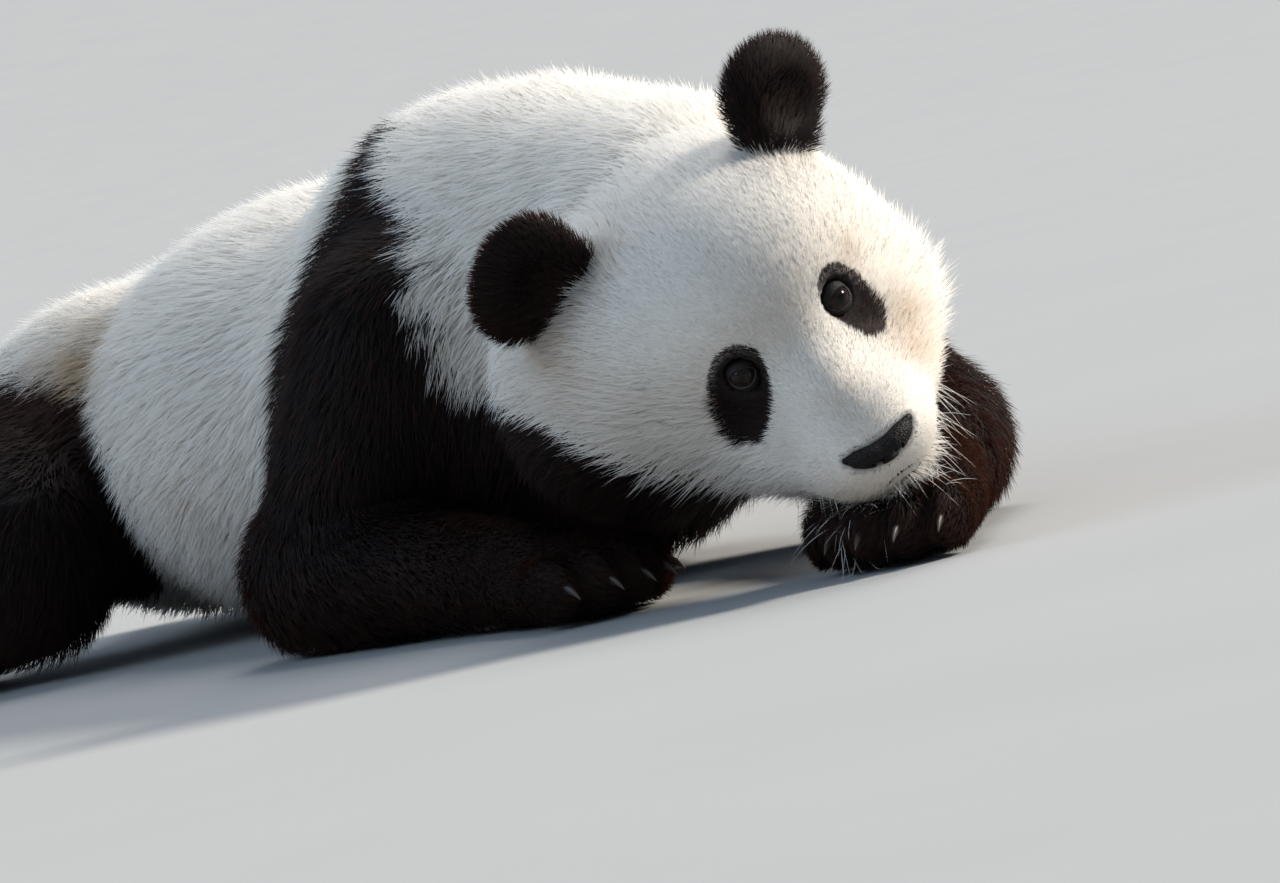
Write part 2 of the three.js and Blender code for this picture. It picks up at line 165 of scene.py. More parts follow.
def smooth_step(low, high, value):
    """0 below low, 1 above high, and 3t^2 - 2t^3 between."""
    t = np.clip((value - low) / (high - low), 0, 1)
    return t * t * (3 - 2 * t)


def unit(vectors):
    """Each vector at length 1."""
    return vectors / np.maximum(np.linalg.norm(vectors, axis=-1, keepdims=True), 1e-9)


# %% [markdown]
# ## The panda's own masses
#
# The numbers are those of the CAD solids. The head is short and very wide, because a panda's jaw
# muscles fill its cheeks. The trunk is a barrel on the floor with a hump over the shoulders, and the
# legs fold out to the sides.

# %% Head and ears
def head_egg(at, radii):
    """An egg placed and turned in the head's frame."""
    return egg(on_head(at), radii, HEAD_AXES)


skull_field = blend(
    64,
    head_egg([-12, 0, 22], [122, 122, 108]),  # cranium
    head_egg([56, 0, 46], [76, 86, 60]),  # forehead
    *[head_egg([18, side * 74, -42], [94, 60, 78]) for side in (1, -1)],  # cheeks
    head_egg([-34, -112, 0], [96, 78, 96]),  # right cheek's ruff, pushed up by the neck
)
head_field = blend(
    40,
    skull_field,
    head_egg([82, 0, -70], [86, 60, 44]),  # jaw
    *[head_egg([94, side * 46, -64], [66, 42, 42]) for side in (1, -1)],  # jowls
    head_egg([108, 0, -10], [79, 40, 43]),  # bridge of the nose
    head_egg([149, 0, -52], [60, 48, 42]),  # muzzle
    *[head_egg([179, side * 22, -62], [35, 30, 26]) for side in (1, -1)],  # upper lips
    head_egg([161, 0, -86], [40, 32, 22]),  # chin
)
EAR_PLACES = {-1: [-28, -132, 130], 1: [-28, 117, 122]}
EAR_SIZES = {-1: [24, 59, 50], 1: [24, 55, 48]}
EAR_TURNS = {-1: 4, 1: 24}  # degrees that each ear's dish faces outwards
EAR_AXES = {
    side: turned(0, 0, -side * 40, turned(EAR_TURNS[side], 0, 0, HEAD_AXES)) for side in (1, -1)
}


def in_ear(side, offset):
    """A place on an ear, from its offset along the ear's own axes."""
    return on_head(EAR_PLACES[side]) + np.asarray(offset, float) @ EAR_AXES[side]


def ear_field(side):
    """A thick dish and its stalk, less the hollow of the ear, which the hair half fills."""
    axes = EAR_AXES[side]
    solid = blend(
        20,
        egg(in_ear(side, [0, 0, 0]), EAR_SIZES[side], axes),
        egg(in_ear(side, [4, 0, -38]), [22, 42, 30], axes),
    )
    hollow = egg(in_ear(side, [33, 0, -6]), [15, 34, 30], axes)
    return lambda x, y, z: np.maximum(solid(x, y, z), -hollow(x, y, z))


# %% Trunk, tail and upper legs
FORELEGS = {
    -1: {"shoulder": [215, -168, 245], "elbow": [150, -252, 68], "wrist": [425, -212, 42], "heading": 14},
    1: {"shoulder": [245, 168, 240], "elbow": [465, 172, 70], "wrist": [688, 22, 43], "heading": -58},
}


def sided(side, point):
    """A point given for the right side, on the side asked for."""
    return [point[0], -side * point[1], point[2]]


HIND = {
    side: {
        "hip": sided(side, [-470, -172, 200]),
        "knee": sided(side, [-338, -302, 128]),
        "shin": sided(side, [-356, -306, 88]),
        "ankle": sided(side, [-510, -330, 60]),
        "heading": side * 43,
    }
    for side in (1, -1)
}
trunk_masses = [
    egg([110, 0, 193], [310, 232, 205]),  # rib cage
    egg([130, 0, 328], [195, 160, 128]),  # shoulder hump
    egg([-190, 0, 192], [300, 262, 211]),  # belly
    egg([-455, 0, 180], [235, 232, 182]),  # rump
    bar([270, 0, 286], [455, -12, 282], 158, 132),  # neck
    egg([470, -120, 180], [110, 95, 110]),  # throat ruff, pressed to the right
    *[egg([-420, side * 148, 198], [132, 104, 142]) for side in (-1, 1)],  # haunches
]
upper_arms = {s: bar(leg["shoulder"], leg["elbow"], 96, 72) for s, leg in FORELEGS.items()}
forearms = {s: bar(leg["elbow"], leg["wrist"], 72, 46) for s, leg in FORELEGS.items()}
thighs = {s: bar(leg["hip"], leg["knee"], 116, 88) for s, leg in HIND.items()}
shanks = {s: bar(leg["shin"], leg["ankle"], 80, 52) for s, leg in HIND.items()}
trunk_field = blend(55, *trunk_masses, *upper_arms.values(), *thighs.values())
tail_field = blend(
    25,
    egg([-672, 0, 190], [62, 52, 60], turned(0, -40, 0)),
    egg([-706, 0, 140], [40, 46, 66], turned(0, -12, 0)),
)


# %% Paws and lower legs
TOES = np.array([-2, -1, 0, 1, 2])
FORE_PAW_SIZE = (150, 70, 76)  # length, half width and height
HIND_PAW_SIZE = (205, 62, 82)


def paw_places(x, y, heading, length, half_width, height):
    """A palm's and five toes' middles: the toes fan across the front, the middle one furthest out."""
    axes = turned(heading, 0, 0)
    reach = length * (0.74 - 0.045 * TOES**2)
    toes = np.stack([reach, TOES * half_width * 0.4, np.full(5, height * 0.42)], axis=1)
    palm = np.array([length * 0.32, 0, height * 0.46])
    return np.array([x, y, 0]) + palm @ axes, np.array([x, y, 0]) + toes @ axes, axes


def paw_masses(x, y, heading, length, half_width, height):
    """One egg for the palm and a smaller one for each toe."""
    palm, toes, axes = paw_places(x, y, heading, length, half_width, height)
    toe_radii = [length * 0.2, half_width * 0.23, height * 0.4]
    palm_mass = egg(palm, [length * 0.5, half_width * 0.92, height * 0.52], axes)
    return [palm_mass, *[egg(toe, toe_radii, axes) for toe in toes]]


fore_paws = {s: (*leg["wrist"][:2], leg["heading"], *FORE_PAW_SIZE) for s, leg in FORELEGS.items()}
hind_paws = {s: (*leg["ankle"][:2], leg["heading"], *HIND_PAW_SIZE) for s, leg in HIND.items()}
PAWS = [*fore_paws.values(), *hind_paws.values()]


def foreleg_field(side):
    """Upper arm, forearm with its thick upper third, and paw."""
    elbow, wrist = [np.array(FORELEGS[side][joint], float) for joint in ("elbow", "wrist")]
    thick_part = bar(elbow, elbow + (wrist - elbow) * 0.35, 72, 62)
    return blend(26, upper_arms[side], forearms[side], thick_part, *paw_masses(*fore_paws[side]))


def hindleg_field(side):
    """Thigh, shank, heel and foot."""
    heel = egg([*HIND[side]["ankle"][:2], 46], [52, 48, 50])
    return blend(28, thighs[side], shanks[side], heel, *paw_masses(*hind_paws[side]))


ear_fields = {side: ear_field(side) for side in (1, -1)}
foreleg_fields = {side: foreleg_field(side) for side in (1, -1)}
hindleg_fields = {side: hindleg_field(side) for side in (1, -1)}
print("masses of the trunk", len(trunk_masses), "legs", len(FORELEGS) + len(HIND))

# %% [markdown]
# ## How deep the coat is
#
# The CAD outline is that of the hair's tips, so the skin lies deeper by the height of the coat there:
# about two centimetres on the trunk, half a centimetre on the face, and little under the paws. Each
# region has a depth, and near a border the depths mix by how near each region's surface is.

# %% Regions and depths
FLOOR_CLEAR = 5.0  # the skin stays this far above the floor, on flattened hair


def face_depth(x, y, z):
    """Deep at the back of the head and on the cheeks, shallow from the brow to the nose."""
    f, l, u = along_axes(x, y, z, SKULL, HEAD_AXES)
    back = smooth_step(125, -30, f + 0.35 * u)
    cheek = smooth_step(56, 115, np.abs(l)) * smooth_step(80, 0, u)
    chin = smooth_step(-72, -100, u) * smooth_step(60, 110, f)
    return 4.2 + 8.5 * back + 6.5 * cheek + 3.5 * chin


REGIONS = {
    "trunk": (trunk_field, 19.0),
    "head": (head_field, face_depth),
    "tail": (tail_field, 18.0),
    "ear_left": (ear_fields[1], 8.0),
    "ear_right": (ear_fields[-1], 8.0),
    "foreleg_left": (foreleg_fields[1], 13.0),
    "foreleg_right": (foreleg_fields[-1], 13.0),
    "hindleg_left": (hindleg_fields[1], 14.0),
    "hindleg_right": (hindleg_fields[-1], 14.0),
}
PAW_DEPTH = 6.0
PAW_REACH = 150.0  # from the middle of a paw to where the leg's longer hair has begun
paw_middles = [paw_places(*paw)[0] for paw in PAWS]
UNION_WIDTH = 5.0  # legs meet the body in a crease, not in a web of skin
full_body = blend(95, trunk_field, head_field)  # the nape is one slope of fat and hair
MIX_WIDTH = 14.0  # how far one region's depth reaches into the next


def coat_and_skin(x, y, z):
    """The coat's surface is the union of the regions. The skin is that field plus the mixed depth."""
    values = [field(x, y, z) for field, _ in REGIONS.values()]
    coat = full_body(x, y, z)
    for other in values[2:]:
        coat = joined(coat, other, UNION_WIDTH)
    nearest = np.minimum.reduce(values)
    paw_off = np.minimum.reduce([(x - p[0]) ** 2 + (y - p[1]) ** 2 for p in paw_middles]) ** 0.5
    on_paw = smooth_step(PAW_REACH, PAW_REACH * 0.45, paw_off)
    weight_sum, depth_sum = 0.0, 0.0
    for (name, (_, depth)), value in zip(REGIONS.items(), values):
        weight = np.exp(-(value - nearest) / MIX_WIDTH)
        deep = depth(x, y, z) if callable(depth) else depth
        if "leg" in name:
            deep = deep + (PAW_DEPTH - deep) * on_paw
        weight_sum = weight_sum + weight
        depth_sum = depth_sum + weight * deep
    depth = depth_sum / weight_sum
    return coat, np.maximum(coat + depth, FLOOR_CLEAR - z), depth


# %% [markdown]
# ## The nose's pad, eye hollows and the mouth
#
# A panda's eyes are small and sit in shallow hollows, so a ball a little in front of each eye is taken
# out of the skin. The nose pad is a wide bar with a wedge below its middle and a wing at each end, and
# the skin makes room for it. The mouth is a crease that drops from under the nose, runs back between
# the upper lips and the chin, and rises to its corners.

# %% Nose pad
NOSE = np.array([214.0, 3.0, -47.0])
NOSE_AXES = turned(0, 0, -5, HEAD_AXES)  # its left corner hangs a little, pressed down by the pose


def on_nose(offset):
    """A place on the nose, from its offset along the nose's own axes."""
    return on_head(NOSE) + np.asarray(offset, float) @ NOSE_AXES


def nose_egg(offset, radii):
    """An egg placed and turned in the nose's frame."""
    return egg(on_nose(offset), radii, NOSE_AXES)


def nose_bar(start, end, start_radius, end_radius):
    """A tapered roll between two places on the nose."""
    return bar(on_nose(start), on_nose(end), start_radius, end_radius)


nose_pad = blend(
    7,
    nose_bar([3, 14, -1], [3, -14, -1], 6.0, 6.0),
    nose_egg([4, 0, -4], [10, 17, 8.8]),
    *[nose_egg([-5, side * 19, -2], [12, 10, 7.5]) for side in (1, -1)],
    *[nose_bar([6, side * 10, 1], [-6, side * 31, 3], 4.5, 2.4) for side in (1, -1)],  # wings
)

# %% Eye hollows and mouth crease
EYE_RADIUS = 12.0
EYE_PLACES = {1: on_head([118, 48.5, 25]), -1: on_head([119, -45.5, 25])}
HOLLOW_AHEAD, HOLLOW_RADIUS = 8.0, 16.5
MOUTH_DEPTH, MOUTH_WIDTH = 5.0, 4.0
NOSE_ROOM = 2.5  # how far inside the pad the skin ends


def gaze_of(side):
    """Forward, a little out and a little up, as a unit vector."""
    gaze = np.array([0.88, side * 0.34, 0.33]) @ HEAD_AXES
    return gaze / np.linalg.norm(gaze)


GAZES = {side: gaze_of(side) for side in (1, -1)}
eye_hollows = [egg(EYE_PLACES[s] + GAZES[s] * HOLLOW_AHEAD, [HOLLOW_RADIUS] * 3) for s in (1, -1)]


def mouth_height(left):
    """Under the nose at -85, 4 lower at the middle of each lip, and 11 higher at the corners."""
    away = np.abs(left)
    return -85 - 4 * smooth_step(0, 20, away) + 11 * smooth_step(28, 62, away)


def skin_field(x, y, z):
    """The sunken field, hollowed at the eyes and the nose and creased along the mouth."""
    _, skin, _ = coat_and_skin(x, y, z)
    for hollow in eye_hollows:
        skin = np.maximum(skin, -hollow(x, y, z))
    skin = np.maximum(skin, -NOSE_ROOM - nose_pad(x, y, z))
    f, l, u = along_axes(x, y, z, SKULL, HEAD_AXES)
    crease = np.exp(-(((u - mouth_height(l)) / MOUTH_WIDTH) ** 2))
    return skin + MOUTH_DEPTH * crease * smooth_step(98, 128, f) * smooth_step(70, 52, np.abs(l))


# %% [markdown]
# ## From a field to a mesh
#
# Marching cubes would slice each cell of a grid into small triangles. Surface nets are calmer: each
# cell that the surface crosses gets one point, and each crossed grid line gets one quad between the
# four cells around it. The grid's lines lie closer at the head than along the trunk. Two steps along
# the field's slope then put every point on the surface itself.

# %% Surface nets with numpy
def ladder(*stops):
    """Lines from the first stop to the last. Each stretch has its own spacing."""
    lines = [np.array([stops[0][0]], float)]
    for (low, step), (high, _) in zip(stops, stops[1:]):
        count = max(1, round((high - low) / step))
        lines.append(low + (high - low) * np.arange(1, count + 1) / count)
    return np.concatenate(lines)


CORNERS = np.array([[a, b, c] for c in (0, 1) for b in (0, 1) for a in (0, 1)])
EDGES = [(i, j) for i in range(8) for j in range(i + 1, 8) if np.abs(CORNERS[i] - CORNERS[j]).sum() == 1]


def fill_crossed_faces(values, depth):
    """A cell face with two opposite corners inside pinches the mesh, so its other two are filled."""
    for first, second in ((0, 1), (1, 2), (2, 0)):
        for _ in range(3):
            v = np.moveaxis(values, (first, second), (0, 1))
            a, b, c, d = v[:-1, :-1], v[1:, :-1], v[1:, 1:], v[:-1, 1:]
            ins = [corner < 0 for corner in (a, b, c, d)]
            crossed = (ins[0] == ins[2]) & (ins[1] == ins[3]) & (ins[0] != ins[1])
            if not crossed.any():
                break
            for corner in (a, b, c, d):
                corner[crossed & (corner >= 0)] = -depth


def crossed_lines(lines):
    """The three axes' lines, each shaped so that numpy spreads them over the whole grid."""
    return lines[0][:, None, None], lines[1][None, :, None], lines[2][None, None, :]


def surface_net(values, lines):
    """Points at the mean crossing of each crossed cell, and one quad for each crossed grid line."""
    inside = values < 0
    cells = np.zeros(np.array(values.shape) - 1, np.int8)
    for a, b, c in CORNERS:
        cells += inside[a : a + cells.shape[0], b : b + cells.shape[1], c : c + cells.shape[2]]
    where = np.stack(np.nonzero((cells > 0) & (cells < 8)), axis=1)
    corner_index = where[:, None, :] + CORNERS[None]
    v = values[corner_index[..., 0], corner_index[..., 1], corner_index[..., 2]]
    place = np.stack([lines[i][corner_index[..., i]] for i in range(3)], axis=-1)
    total, count = np.zeros((len(where), 3)), np.zeros(len(where))
    for i, j in EDGES:
        crossed = (v[:, i] < 0) != (v[:, j] < 0)
        gap = np.where(crossed, v[:, i] - v[:, j], 1.0)
        t = (v[:, i] / gap)[:, None]
        total += np.where(crossed[:, None], place[:, i] + t * (place[:, j] - place[:, i]), 0)
        count += crossed
    number = np.full(cells.shape, -1, np.int64)
    number[tuple(where.T)] = np.arange(len(where))
    quads = []
    for axis in range(3):
        p, q = (axis + 1) % 3, (axis + 2) % 3
        step = np.eye(3, dtype=int)
        low = inside[tuple(slice(0, -1) if i == axis else slice(1, -1) for i in range(3))]
        high = inside[tuple(slice(1, None) if i == axis else slice(1, -1) for i in range(3))]
        for outward in (False, True):
            at = np.stack(np.nonzero(low & ~high if outward else ~low & high), axis=1)
            at = at + 1 - step[axis]
            ring = [at - step[p] - step[q], at - step[q], at, at - step[p]]
            ring = ring if outward else ring[::-1]
            quads.append(np.stack([number[tuple(c.T)] for c in ring], axis=1))
    return total / count[:, None], np.concatenate(quads)


def slope_of(field, points, probe=0.4):
    """The field's gradient by differences along x, y and z."""
    rises = [at_points(field, points + s) - at_points(field, points - s) for s in np.eye(3) * probe]
    return np.stack(rises, axis=1) / (2 * probe)


def settled(field, points, most=4.0, rounds=2):
    """Newton steps: move against the slope by value over slope squared, never further than most."""
    for _ in range(rounds):
        value, slope = at_points(field, points), slope_of(field, points)
        move = value / np.maximum((slope**2).sum(axis=1), 0.2)
        points = points - slope * np.clip(move, -most, most)[:, None]
    return points


# %% [markdown]
# ## Meshes, pieces and attributes
#
# A mesh made one vertex at a time in Python would take minutes. foreach_set copies whole numpy arrays
# into Blender's own memory, so half a million tufts take seconds. Every piece is finished the same
# way: its object sits at the origin, rides on the one body and gets its material, and the CAD nodes
# that it replaces are hidden.

# %% Arrays to objects
def mesh_from(name, points, faces_by_size):
    """Points in millimetres and lists of equal-sized faces, into a smooth-shaded mesh in metres."""
    mesh = bpy.data.meshes.new(name)
    corners = np.concatenate([f.ravel() for f in faces_by_size]).astype(np.int32)
    sizes = np.concatenate([np.full(len(f), f.shape[1]) for f in faces_by_size])
    mesh.vertices.add(len(points))
    mesh.vertices.foreach_set("co", (points * MM).astype(np.float32).ravel())
    mesh.loops.add(len(corners))
    mesh.loops.foreach_set("vertex_index", corners)
    mesh.polygons.add(len(sizes))
    starts = np.concatenate([[0], np.cumsum(sizes)[:-1]])
    mesh.polygons.foreach_set("loop_start", starts.astype(np.int32))
    mesh.update(calc_edges=True)
    mesh.shade_smooth()
    return mesh


def colour_attribute(mesh, name, values):
    """Four numbers for each point, which a material reads with an Attribute node."""
    attribute = mesh.attributes.new(name, "FLOAT_COLOR", "POINT")
    attribute.data.foreach_set("color", values.astype(np.float32).ravel())


def corner_map(mesh, name, places):
    """A UV map from one place for each point."""
    corners = np.empty(len(mesh.loops), np.int32)
    mesh.loops.foreach_get("vertex_index", corners)
    layer = mesh.uv_layers.new(name=name, do_init=False)
    layer.uv.foreach_set("vector", places[corners].astype(np.float32).ravel())


def in_scene(name, data):
    """A mesh, lamp or camera as an object of the scene, at the origin."""
    made = bpy.data.objects.new(name, data)
    bpy.context.scene.collection.objects.link(made)
    return made


def finish_piece(mesh, material, replaced=()):
    """The mesh as an object at the origin, with its material and its body, and the CAD nodes that it
    replaces hidden.
    """
    piece = in_scene(mesh.name, mesh)
    mesh.materials.append(material)
    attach(piece, BODY)
    if replaced:
        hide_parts(*replaced)
    return piece


# %% [markdown]
# ## Noise that knows no picture
#
# Hair never lies perfectly evenly. A lattice of random numbers, read between its points, gives a
# smooth random value anywhere in space, the same on each run.

# %% Lattice noise
HASH_PRIMES = np.array([73856093, 19349663, 83492791])


def hashed(cells, seed):
    """A repeatable random number from 0 to 1 for each row of whole numbers."""
    with np.errstate(over="ignore"):
        h = np.bitwise_xor.reduce(cells * HASH_PRIMES, axis=-1) ^ seed * 2654435
        h = (h ^ (h >> 13)) * 1274126177
        h = h ^ (h >> 16)
    return (h & 0xFFFFFF) / float(0x1000000)


def noise(points, cell, seed):
    """Values from -1 to 1 at lattice corners cell millimetres apart, mixed smoothly between them."""
    scaled = points / cell
    base = np.floor(scaled).astype(np.int64)
    t = scaled - base
    t = t * t * (3 - 2 * t)
    total = 0.0
    for corner in CORNERS:
        weight = np.prod(np.where(corner == 1, t, 1 - t), axis=1)
        total = total + weight * hashed(base + corner, seed)
    return total * 2 - 1


# %% [markdown]
# ## The markings
#
# A giant panda has black ears, eye patches, hind legs, and one black band that runs from foreleg to
# foreleg over the shoulders. Each is a distance here too: positive inside the black, in millimetres,
# so that the skin can fade over a few millimetres and each tuft can be cut off sharply but unevenly.

# %% Where the black lies
BAND_REAR = [  # height above the floor, and how far forward the band's rear edge is there
    *[(60, -30), (135, -15), (200, 30), (240, 48), (285, 55)],
    *[(330, 72), (360, 90), (400, 92), (455, 42)],
]
BAND_FRONT = [  # the same for its front edge
    *[(60, 620), (165, 520), (185, 310), (300, 295)],
    *[(345, 240), (380, 158), (405, 130), (455, 88)],
]
SADDLE_BACK = 60.0  # how much further back the band crosses the spine
REAR_SWEEP = 1.7  # and how much more than its front edge its rear edge does
THIGH_MASKS = [egg([-410, side * 290, 138], [162, 126, 138]) for side in (1, -1)]
THIGH_MIDDLE = 138.0  # below this height the black of the thigh goes straight down
KNEE_REACH = 500.0  # how far behind the middle the black of the thigh's front reaches
KNEE_HEIGHT = 170.0
THROAT_HEIGHT = 262.0  # the right arm's black ends here, at the band
ARM_MARGINS = {1: 16, -1: -9}  # the black reaches this far past each upper arm
EYE_PATCHES = (  # middle, long way, short way, half length and half width, in the head's frame
    ([127, -64, 16], [0.13, 0.55, 0.82], [0.57, 0.64, -0.52], 48, 26),
    ([126, 64, 19], [-0.05, -0.27, 0.96], [-0.56, 0.80, 0.19], 38, 22),
)
PATCH_POWER = 2.4  # a little squarer than an ellipse
OUTSIDE = -1e3  # far from any black


def eye_patch(local):
    """A rounded oval slanting down and out from each eye: one less the power sum of its two shares."""
    best = np.full(len(local), OUTSIDE)
    for middle, long_way, short_way, half_length, half_width in EYE_PATCHES:
        off = local - np.array(middle, float)
        lengthwise = np.abs(off @ unit(np.array(long_way))) / half_length
        sideways = np.abs(off @ unit(np.array(short_way))) / half_width
        share = (lengthwise**PATCH_POWER + sideways**PATCH_POWER) ** (1 / PATCH_POWER)
        near = np.linalg.norm(off, axis=1) < 1.4 * half_length
        best = np.maximum(best, np.where(near & (local[:, 0] > 90), (1 - share) * half_width, OUTSIDE))
    return best


def darkness(points, rooted):
    """Millimetres inside the black, or less than 0 in the white, of a point on hair rooted elsewhere."""
    x, y, z = points.T
    saddle = SADDLE_BACK * smooth_step(95, 30, np.abs(y)) * smooth_step(380, 430, z)
    rear = np.interp(z, *zip(*BAND_REAR)) - REAR_SWEEP * saddle
    front = np.interp(z, *zip(*BAND_FRONT)) - saddle
    head_here = at_points(head_field, points)
    below_head = head_here - 6 + 16 * smooth_step(200, 160, z)
    band = np.minimum.reduce([x - rear, front - x, below_head])
    left_arm, right_arm = [ARM_MARGINS[s] - at_points(upper_arms[s], rooted) for s in (1, -1)]
    arms = np.maximum(left_arm, np.minimum(right_arm, THROAT_HEIGHT - z))
    hind = np.maximum(*[-mask(x, y, np.maximum(z, THIGH_MIDDLE)) for mask in THIGH_MASKS])
    knees = np.minimum.reduce([12 - nearest_of(thighs.values(), rooted), KNEE_HEIGHT - z, x + KNEE_REACH])
    patch = np.where(head_here < 14, eye_patch(in_head(points)), OUTSIDE)
    nose = np.where(head_here < 30, 1.5 - at_points(nose_pad, rooted), OUTSIDE)
    legs = nearest_of([*foreleg_fields.values(), *hindleg_fields.values()], rooted)
    limb = at_points(full_body, rooted) - legs - 2
    ears = nearest_of(ear_fields.values(), rooted)
    ear = np.where(ears < 12, at_points(head_field, rooted) - ears - 2, OUTSIDE)
    return np.maximum.reduce([band, arms, hind, knees, patch, nose, limb, ear])


STAINS = (  # middle, reach and strength of each place where the white is yellowed or greyed
    (on_head([122, 66, -42]), 36, 0.85),
    (on_head([108, 84, 42]), 20, 0.40),
    (on_head([158, -52, -30]), 26, 0.22),
    (on_head([0, -150, 78]), 50, 0.50),
    (on_head([186, 0, -96]), 30, 0.25),
    (np.array([-325, -222, 275]), 88, 1.00),
    (np.array([-325, 222, 275]), 88, 0.70),
    (np.array([-120, -280, 150]), 70, 0.25),
    (np.array([-690, 0, 150]), 80, 0.25),
)


def staining(points):
    """0 on clean white hair, up to 1 where it is dirty, and darker and browner towards the floor, with
    soft uneven edges.
    """
    total = np.zeros(len(points))
    for middle, reach, strength in STAINS:
        away = np.linalg.norm(points - middle, axis=1) / reach
        total = np.maximum(total, strength * np.exp(-(away**2) * 1.4))
    # Darker and browner towards the floor: at least 0.35 below 20 mm, fading out by 120 mm.
    low = 0.35 * smooth_step(120, 20, points[:, 2])
    return np.clip(np.maximum(total, low) * (0.8 + 0.5 * noise(points, 22, 11)), 0, 1)


# %% [markdown]
# ## Which way the hair lies
#
# A cat stroked from nose to tail feels smooth, and so does a panda: hair points away from the nose,
# over the head and neck, back and down the flanks, and down each leg to the toes. Each mass has its
# own direction, and near a border the directions mix as the depths do.

# %% The lie of the coat
NOSE_TIP = on_head([226, 0, -48])
TRUNK_LIES = [  # for rib cage, hump, belly, rump, neck and throat, as their masses are listed
    *[(-0.62, 0, -0.80), (-0.85, 0, -0.52), (-0.80, 0, -0.62)],
    *[(-0.85, 0, -0.55), (-0.80, 0, -0.60), (-0.60, -0.25, -0.75)],
]
LIE_MIX = 22.0  # how far one mass's direction reaches into the next


def constant(direction):
    """The same direction everywhere."""
    return lambda points: np.broadcast_to(unit(np.array(direction, float)), points.shape)


def away_from(origin, drift=(0, 0, 0)):
    """Radiating from a point, with a drift such as downwards added."""
    return lambda points: unit(unit(points - origin) + np.array(drift, float))


def down_leg(leg, start, end, sinking):
    """From one joint of a leg to another, sinking towards the floor."""
    return constant(unit(np.subtract(leg[end], leg[start])) - np.array([0, 0, sinking]))


def lie_sources():
    """Pairs of a mass and the direction of the hair on it."""
    pairs = [(head_field, away_from(NOSE_TIP, (0, 0, -0.12)))]
    pairs += [(mass, constant(way)) for mass, way in zip(trunk_masses, TRUNK_LIES)]
    pairs.append((tail_field, constant((-0.45, 0, -0.90))))
    for side in (1, -1):
        pairs += [
            (upper_arms[side], constant((-0.22, side * 0.15, -0.95))),
            (forearms[side], down_leg(FORELEGS[side], "elbow", "wrist", 0.35)),
            (thighs[side], constant((-0.25, side * 0.30, -0.92))),
            (shanks[side], down_leg(HIND[side], "shin", "ankle", 0.5)),
            (ear_fields[side], away_from(in_ear(side, [-4, 0, -62]))),
        ]
        for paw in (fore_paws[side], hind_paws[side]):
            forwards = turned(paw[2], 0, 0)[0]
            pairs.append((blend(20, *paw_masses(*paw)), constant(forwards + [0, 0, -0.25])))
    return pairs


LIES = lie_sources()


def hair_lie(points, normals):
    """Directions mixed by exp(-distance / LIE_MIX), then laid flat on the skin."""
    values = np.stack([at_points(mass, points) for mass, _ in LIES])
    weights = np.exp(-(values - values.min(axis=0)) / LIE_MIX)
    total = sum(w[:, None] * direction(points) for w, (_, direction) in zip(weights, LIES))
    flat = total - (total * normals).sum(axis=1, keepdims=True) * normals
    return unit(flat)


def rotated(vectors, axes, angle):
    """Each vector turned about its axis, which it is square to: v cos + (axis x v) sin."""
    return vectors * np.cos(angle)[:, None] + np.cross(axes, vectors) * np.sin(angle)[:, None]


# %% Where a hair shows its colour
LENGTH_FOR_DEPTH = 2.15  # a tuft this many times longer than the coat is deep reaches its surface
SHOWN_AT = 0.66  # the share of a hair's length at which its colour is mostly seen


def near_eyes(points):
    """1 at the eyelids, falling to 0 a few centimetres away, and the distance itself."""
    away = np.minimum(*[np.linalg.norm(points - at, axis=1) for at in EYE_PLACES.values()])
    return smooth_step(38, 17, away), away


def beard(points):
    """1 under the chin and 0.7 round the cheeks, where longer hair stands free of the skin."""
    f, l, u = in_head(points).T
    chin = smooth_step(-80, -104, u) * smooth_step(60, 110, f)
    cheek = 0.7 * smooth_step(48, 78, np.abs(l)) * smooth_step(-5, -60, u) * smooth_step(-20, 40, f)
    return np.maximum(chin, cheek) * smooth_step(14, 2, at_points(head_field, points))


def hair_length(points):
    """The mean length of the hair at each point, in millimetres."""
    near_nose = smooth_step(26, 2, at_points(nose_pad, points))
    shorter = (1 - 0.62 * near_eyes(points)[0]) * (1 - 0.45 * near_nose)
    return LENGTH_FOR_DEPTH * coat_and_skin(*points.T)[2] * shorter * (1 + 0.9 * beard(points))


def marked_at(points, normals):
    """The place whose colour a hair rooted here carries: near its tip, on the coat's surface."""
    length = hair_length(points)[:, None]
    along_coat = hair_lie(points, normals) * SHOWN_AT * length
    return points + along_coat + normals * 0.8 * length / LENGTH_FOR_DEPTH


# %% [markdown]
# ## Materials
#
# Fur is not paint. Each hair lets some light through, which is why a white animal glows at its edge
# against the light. So the coat mixes an ordinary surface with a translucent one. Colour runs from a
# greyer root to a bright tip, and every tuft is a little lighter or darker than the next. The mesh
# carries those as an attribute named strand: along the hair, tone, and stain. On a few black tufts
# the stain is a painted highlight: a brown glint of light on single hairs.

# %% Node helpers
def new_material(name):
    """A material, its tree, its surface shader and its output."""
    material = bpy.data.materials.new(name)
    material.use_nodes = True
    tree = material.node_tree
    return material, tree, tree.nodes["Principled BSDF"], tree.nodes["Material Output"]


def node(tree, kind, **settings):
    """A new node of a kind, with its settings."""
    made = tree.nodes.new(kind)
    for key, value in settings.items():
        setattr(made, key, value)
    return made


def feed(tree, target, inputs):
    """Give each input of a node a socket to read or a plain value, by the input's name or number."""
    for key, value in inputs.items():
        if isinstance(value, bpy.types.NodeSocket):
            tree.links.new(value, target.inputs[key])
        else:
            target.inputs[key].default_value = value


